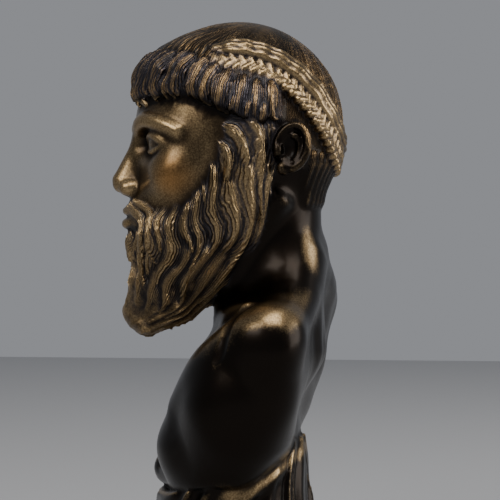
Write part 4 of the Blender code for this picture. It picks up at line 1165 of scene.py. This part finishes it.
class Sheet:
    """A material's nodes, with short ways to join them."""

    def __init__(self, name):
        self.material = bpy.data.materials.new(name)
        self.material.use_nodes = True
        self.nodes = self.material.node_tree.nodes
        self.links = self.material.node_tree.links
        self.shader = self.nodes["Principled BSDF"]

    def feed(self, socket, value):
        """Give a socket a number, a colour or another node's output."""
        if isinstance(value, (int, float)):
            socket.default_value = value
        elif isinstance(value, tuple):
            socket.default_value = (*value, 1.0)
        else:
            self.links.new(value, socket)

    def sum(self, operation, first, second=0.0):
        """The result of a sum on two values."""
        node = self.nodes.new("ShaderNodeMath")
        node.operation = operation
        self.feed(node.inputs[0], first)
        self.feed(node.inputs[1], second)
        return node.outputs[0]

    def total(self, *values):
        """The sum of several values."""
        found = values[0]
        for value in values[1:]:
            found = self.sum("ADD", found, value)
        return found

    def swing(self, value, reach):
        """A value from 0 to 1 as a swing of the given reach about zero."""
        return self.sum("MULTIPLY", self.sum("SUBTRACT", value, 0.5), reach)

    def stepped(self, value, low, high):
        """A smooth step from 0 at low to 1 at high."""
        node = self.nodes.new("ShaderNodeMapRange")
        node.interpolation_type = "SMOOTHSTEP"
        self.feed(node.inputs["Value"], value)
        node.inputs["From Min"].default_value = low
        node.inputs["From Max"].default_value = high
        return node.outputs["Result"]

    def mixed(self, share, first, second):
        """A colour between two colours."""
        node = self.nodes.new("ShaderNodeMix")
        node.data_type = "RGBA"
        for name, value in (("Factor", share), ("A", first), ("B", second)):
            self.feed(next(s for s in node.inputs if s.name == name and s.enabled), value)
        return next(s for s in node.outputs if s.enabled)

    def noise(self, scale, detail):
        """A noise over the bust's own space, in cycles per metre."""
        node = self.nodes.new("ShaderNodeTexNoise")
        node.inputs["Scale"].default_value = scale
        node.inputs["Detail"].default_value = detail
        place = self.nodes.new("ShaderNodeTexCoord")
        self.links.new(place.outputs["Object"], node.inputs["Vector"])
        return node.outputs["Fac"]

    def marked(self, name):
        """A mark kept on the mesh."""
        node = self.nodes.new("ShaderNodeAttribute")
        node.attribute_name = name
        return node.outputs["Fac"]

    def strands(self, region, wobble):
        """The height of a region's fine strands, from -1 to 1, and 0 elsewhere."""
        place = self.sum("ADD", self.marked(region + "_place"), wobble)
        wave = self.sum("SINE", self.sum("MULTIPLY", place, 2.0 * np.pi))
        return self.sum("MULTIPLY", wave, self.marked(region + "_share"))


def all_strands(sheet):
    """The height of the fine strands of cap, fringe and beard."""
    wobble = sheet.sum("MULTIPLY", sheet.noise(WOBBLE_SCALE, 2.0), WOBBLE_REACH)
    cap, fringe, beard = (sheet.strands(region, wobble) for region in ("cap", "fringe", "beard"))
    return sheet.total(cap, fringe, beard)


def patina_colour(sheet, speckle, strands, hollow):
    """Brass where the bronze is worn and raised and where highlights are painted, and dark brown where it is
    not, turned violet on fringe, beard and band by a painted reflection.
    """
    cloud = sheet.noise(CLOUD_SCALE, 4.0)
    wear_and_highlight = sheet.marked("wear_and_highlight")
    height = sheet.total(sheet.swing(sheet.marked("raised"), RAISED_WEIGHT),
                         sheet.swing(speckle, SPECKLE_WEIGHT), sheet.swing(cloud, CLOUD_WEIGHT),
                         sheet.sum("MULTIPLY", strands, STRANDS_WEIGHT))
    brass = sheet.stepped(sheet.sum("ADD", wear_and_highlight, height), BRASS_FROM, BRASS_FULL)
    dark = sheet.mixed(sheet.stepped(wear_and_highlight, 0.3, 0.45), DARK_BROWN, DARK_WARM)
    # Painted reflection: the dark turns violet on fringe, beard and band
    dark = sheet.mixed(sheet.marked("painted_reflection"), dark, PAINTED_VIOLET_REFLECTION)
    bright = sheet.mixed(sheet.stepped(speckle, 0.2, 0.8), BRASS_DULL, BRASS_BRIGHT)
    bright = sheet.mixed(sheet.marked("warm"), bright, BRASS_WARM)
    colour = sheet.mixed(brass, dark, bright)
    return sheet.mixed(sheet.sum("MULTIPLY", hollow, 0.4), colour, HOLLOW_BLACK)


def patina_material():
    """Dark brown bronze, worn to brass on the hair and where it stands proud, with painted highlights and a
    painted violet reflection.
    """
    sheet = Sheet("zeus_bust_bronze")
    speckle = sheet.noise(SPECKLE_SCALE, 3.0)
    strands = all_strands(sheet)
    hollow = sheet.stepped(sheet.sum("SUBTRACT", 0.5, sheet.marked("raised")), 0.10, 0.45)
    sheet.feed(sheet.shader.inputs["Base Color"], patina_colour(sheet, speckle, strands, hollow))
    sheet.shader.inputs["Metallic"].default_value = 1.0
    rough = sheet.total(sheet.sum("MULTIPLY", speckle, ROUGHNESS_OF_SPECKLE), ROUGHNESS,
                        sheet.sum("MULTIPLY", hollow, ROUGHNESS_OF_HOLLOWS))
    sheet.feed(sheet.shader.inputs["Roughness"], rough)
    sheet.shader.inputs["Coat Weight"].default_value = COAT_WEIGHT
    sheet.shader.inputs["Coat Roughness"].default_value = COAT_ROUGHNESS
    relief = sheet.sum("ADD", strands, sheet.sum("MULTIPLY", speckle, 0.08))
    bump = sheet.nodes.new("ShaderNodeBump")
    bump.inputs["Strength"].default_value = 1.0
    bump.inputs["Distance"].default_value = STRAND_HEIGHT
    sheet.links.new(relief, bump.inputs["Height"])
    sheet.links.new(bump.outputs["Normal"], sheet.shader.inputs["Normal"])
    return sheet.material


def floor_material():
    """A plain pale floor."""
    sheet = Sheet("plain_floor")
    sheet.feed(sheet.shader.inputs["Base Color"], FLOOR_COLOUR)
    sheet.shader.inputs["Roughness"].default_value = 0.85
    return sheet.material


# The scene

def make_bust():
    """The finely carved bust in place of the plain casting."""
    blocks = model_clay(CLAY_STEP)
    mesh = skin_mesh(blocks[0])
    largest_body(mesh)
    cut_flat(mesh)
    mesh = thinned(mesh, TRIANGLE_BUDGET)
    mesh.name = "zeus_bust_skin"
    mark_patina(mesh, blocks)
    mesh.materials.append(patina_material())
    mesh.shade_smooth()
    piece = bpy.data.objects.new("zeus_bust_skin", mesh)
    bpy.context.scene.collection.objects.link(piece)
    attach(piece, "root")
    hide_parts("zeus_bust")


def make_floor():
    """The pale floor under the bust."""
    mesh = bpy.data.meshes.new("floor")
    half = FLOOR_SIZE / 2
    corners = [(-half, -half, 0.0), (half, -half, 0.0), (half, half, 0.0), (-half, half, 0.0)]
    mesh.from_pydata(corners, [], [(0, 1, 2, 3)])
    mesh.materials.append(floor_material())
    floor = bpy.data.objects.new("floor", mesh)
    bpy.context.scene.collection.objects.link(floor)


def aim(item, place, target):
    """Put a lamp or the camera at a place, looking at a target."""
    item.location = place
    item.rotation_euler = (Vector(place) - Vector(target)).to_track_quat("Z", "Y").to_euler()
    bpy.context.scene.collection.objects.link(item)


def make_camera():
    """The camera at the photograph's angle: level, from the figure's left."""
    turn = np.radians(CAMERA_AZIMUTH)
    back = Vector((np.sin(turn), -np.cos(turn), 0.0))
    right = Vector((np.cos(turn), np.sin(turn), 0.0))
    target = right * CAMERA_SIDEWAYS + Vector((0.0, 0.0, CAMERA_HEIGHT))
    camera = bpy.data.objects.new("camera", bpy.data.cameras.new("camera"))
    camera.data.lens = CAMERA_LENS
    camera.data.sensor_width = CAMERA_SENSOR
    camera.data.clip_start = 0.01
    aim(camera, target + back * CAMERA_DISTANCE, target)
    bpy.context.scene.camera = camera
    return back, right


def make_lights(back, right):
    """A large soft key from above and behind the head, a fill, a rim light and an even room."""
    up = Vector((0.0, 0.0, 1.0))
    for name, (ways, size, power, colour) in LAMPS.items():
        light = bpy.data.lights.new(name, "AREA")
        light.size = size
        light.energy = power
        light.color = colour
        place = LAMPS_MIDDLE + back * ways[0] + right * ways[1] + up * ways[2]
        aim(bpy.data.objects.new(name, light), place, LAMPS_MIDDLE)
    world = bpy.data.worlds.new("room")
    world.use_nodes = True
    room = world.node_tree.nodes["Background"]
    room.inputs["Color"].default_value = (*ROOM_COLOUR, 1.0)
    room.inputs["Strength"].default_value = ROOM_STRENGTH
    bpy.context.scene.world = world


make_bust()
make_floor()
back, right = make_camera()
make_lights(back, right)
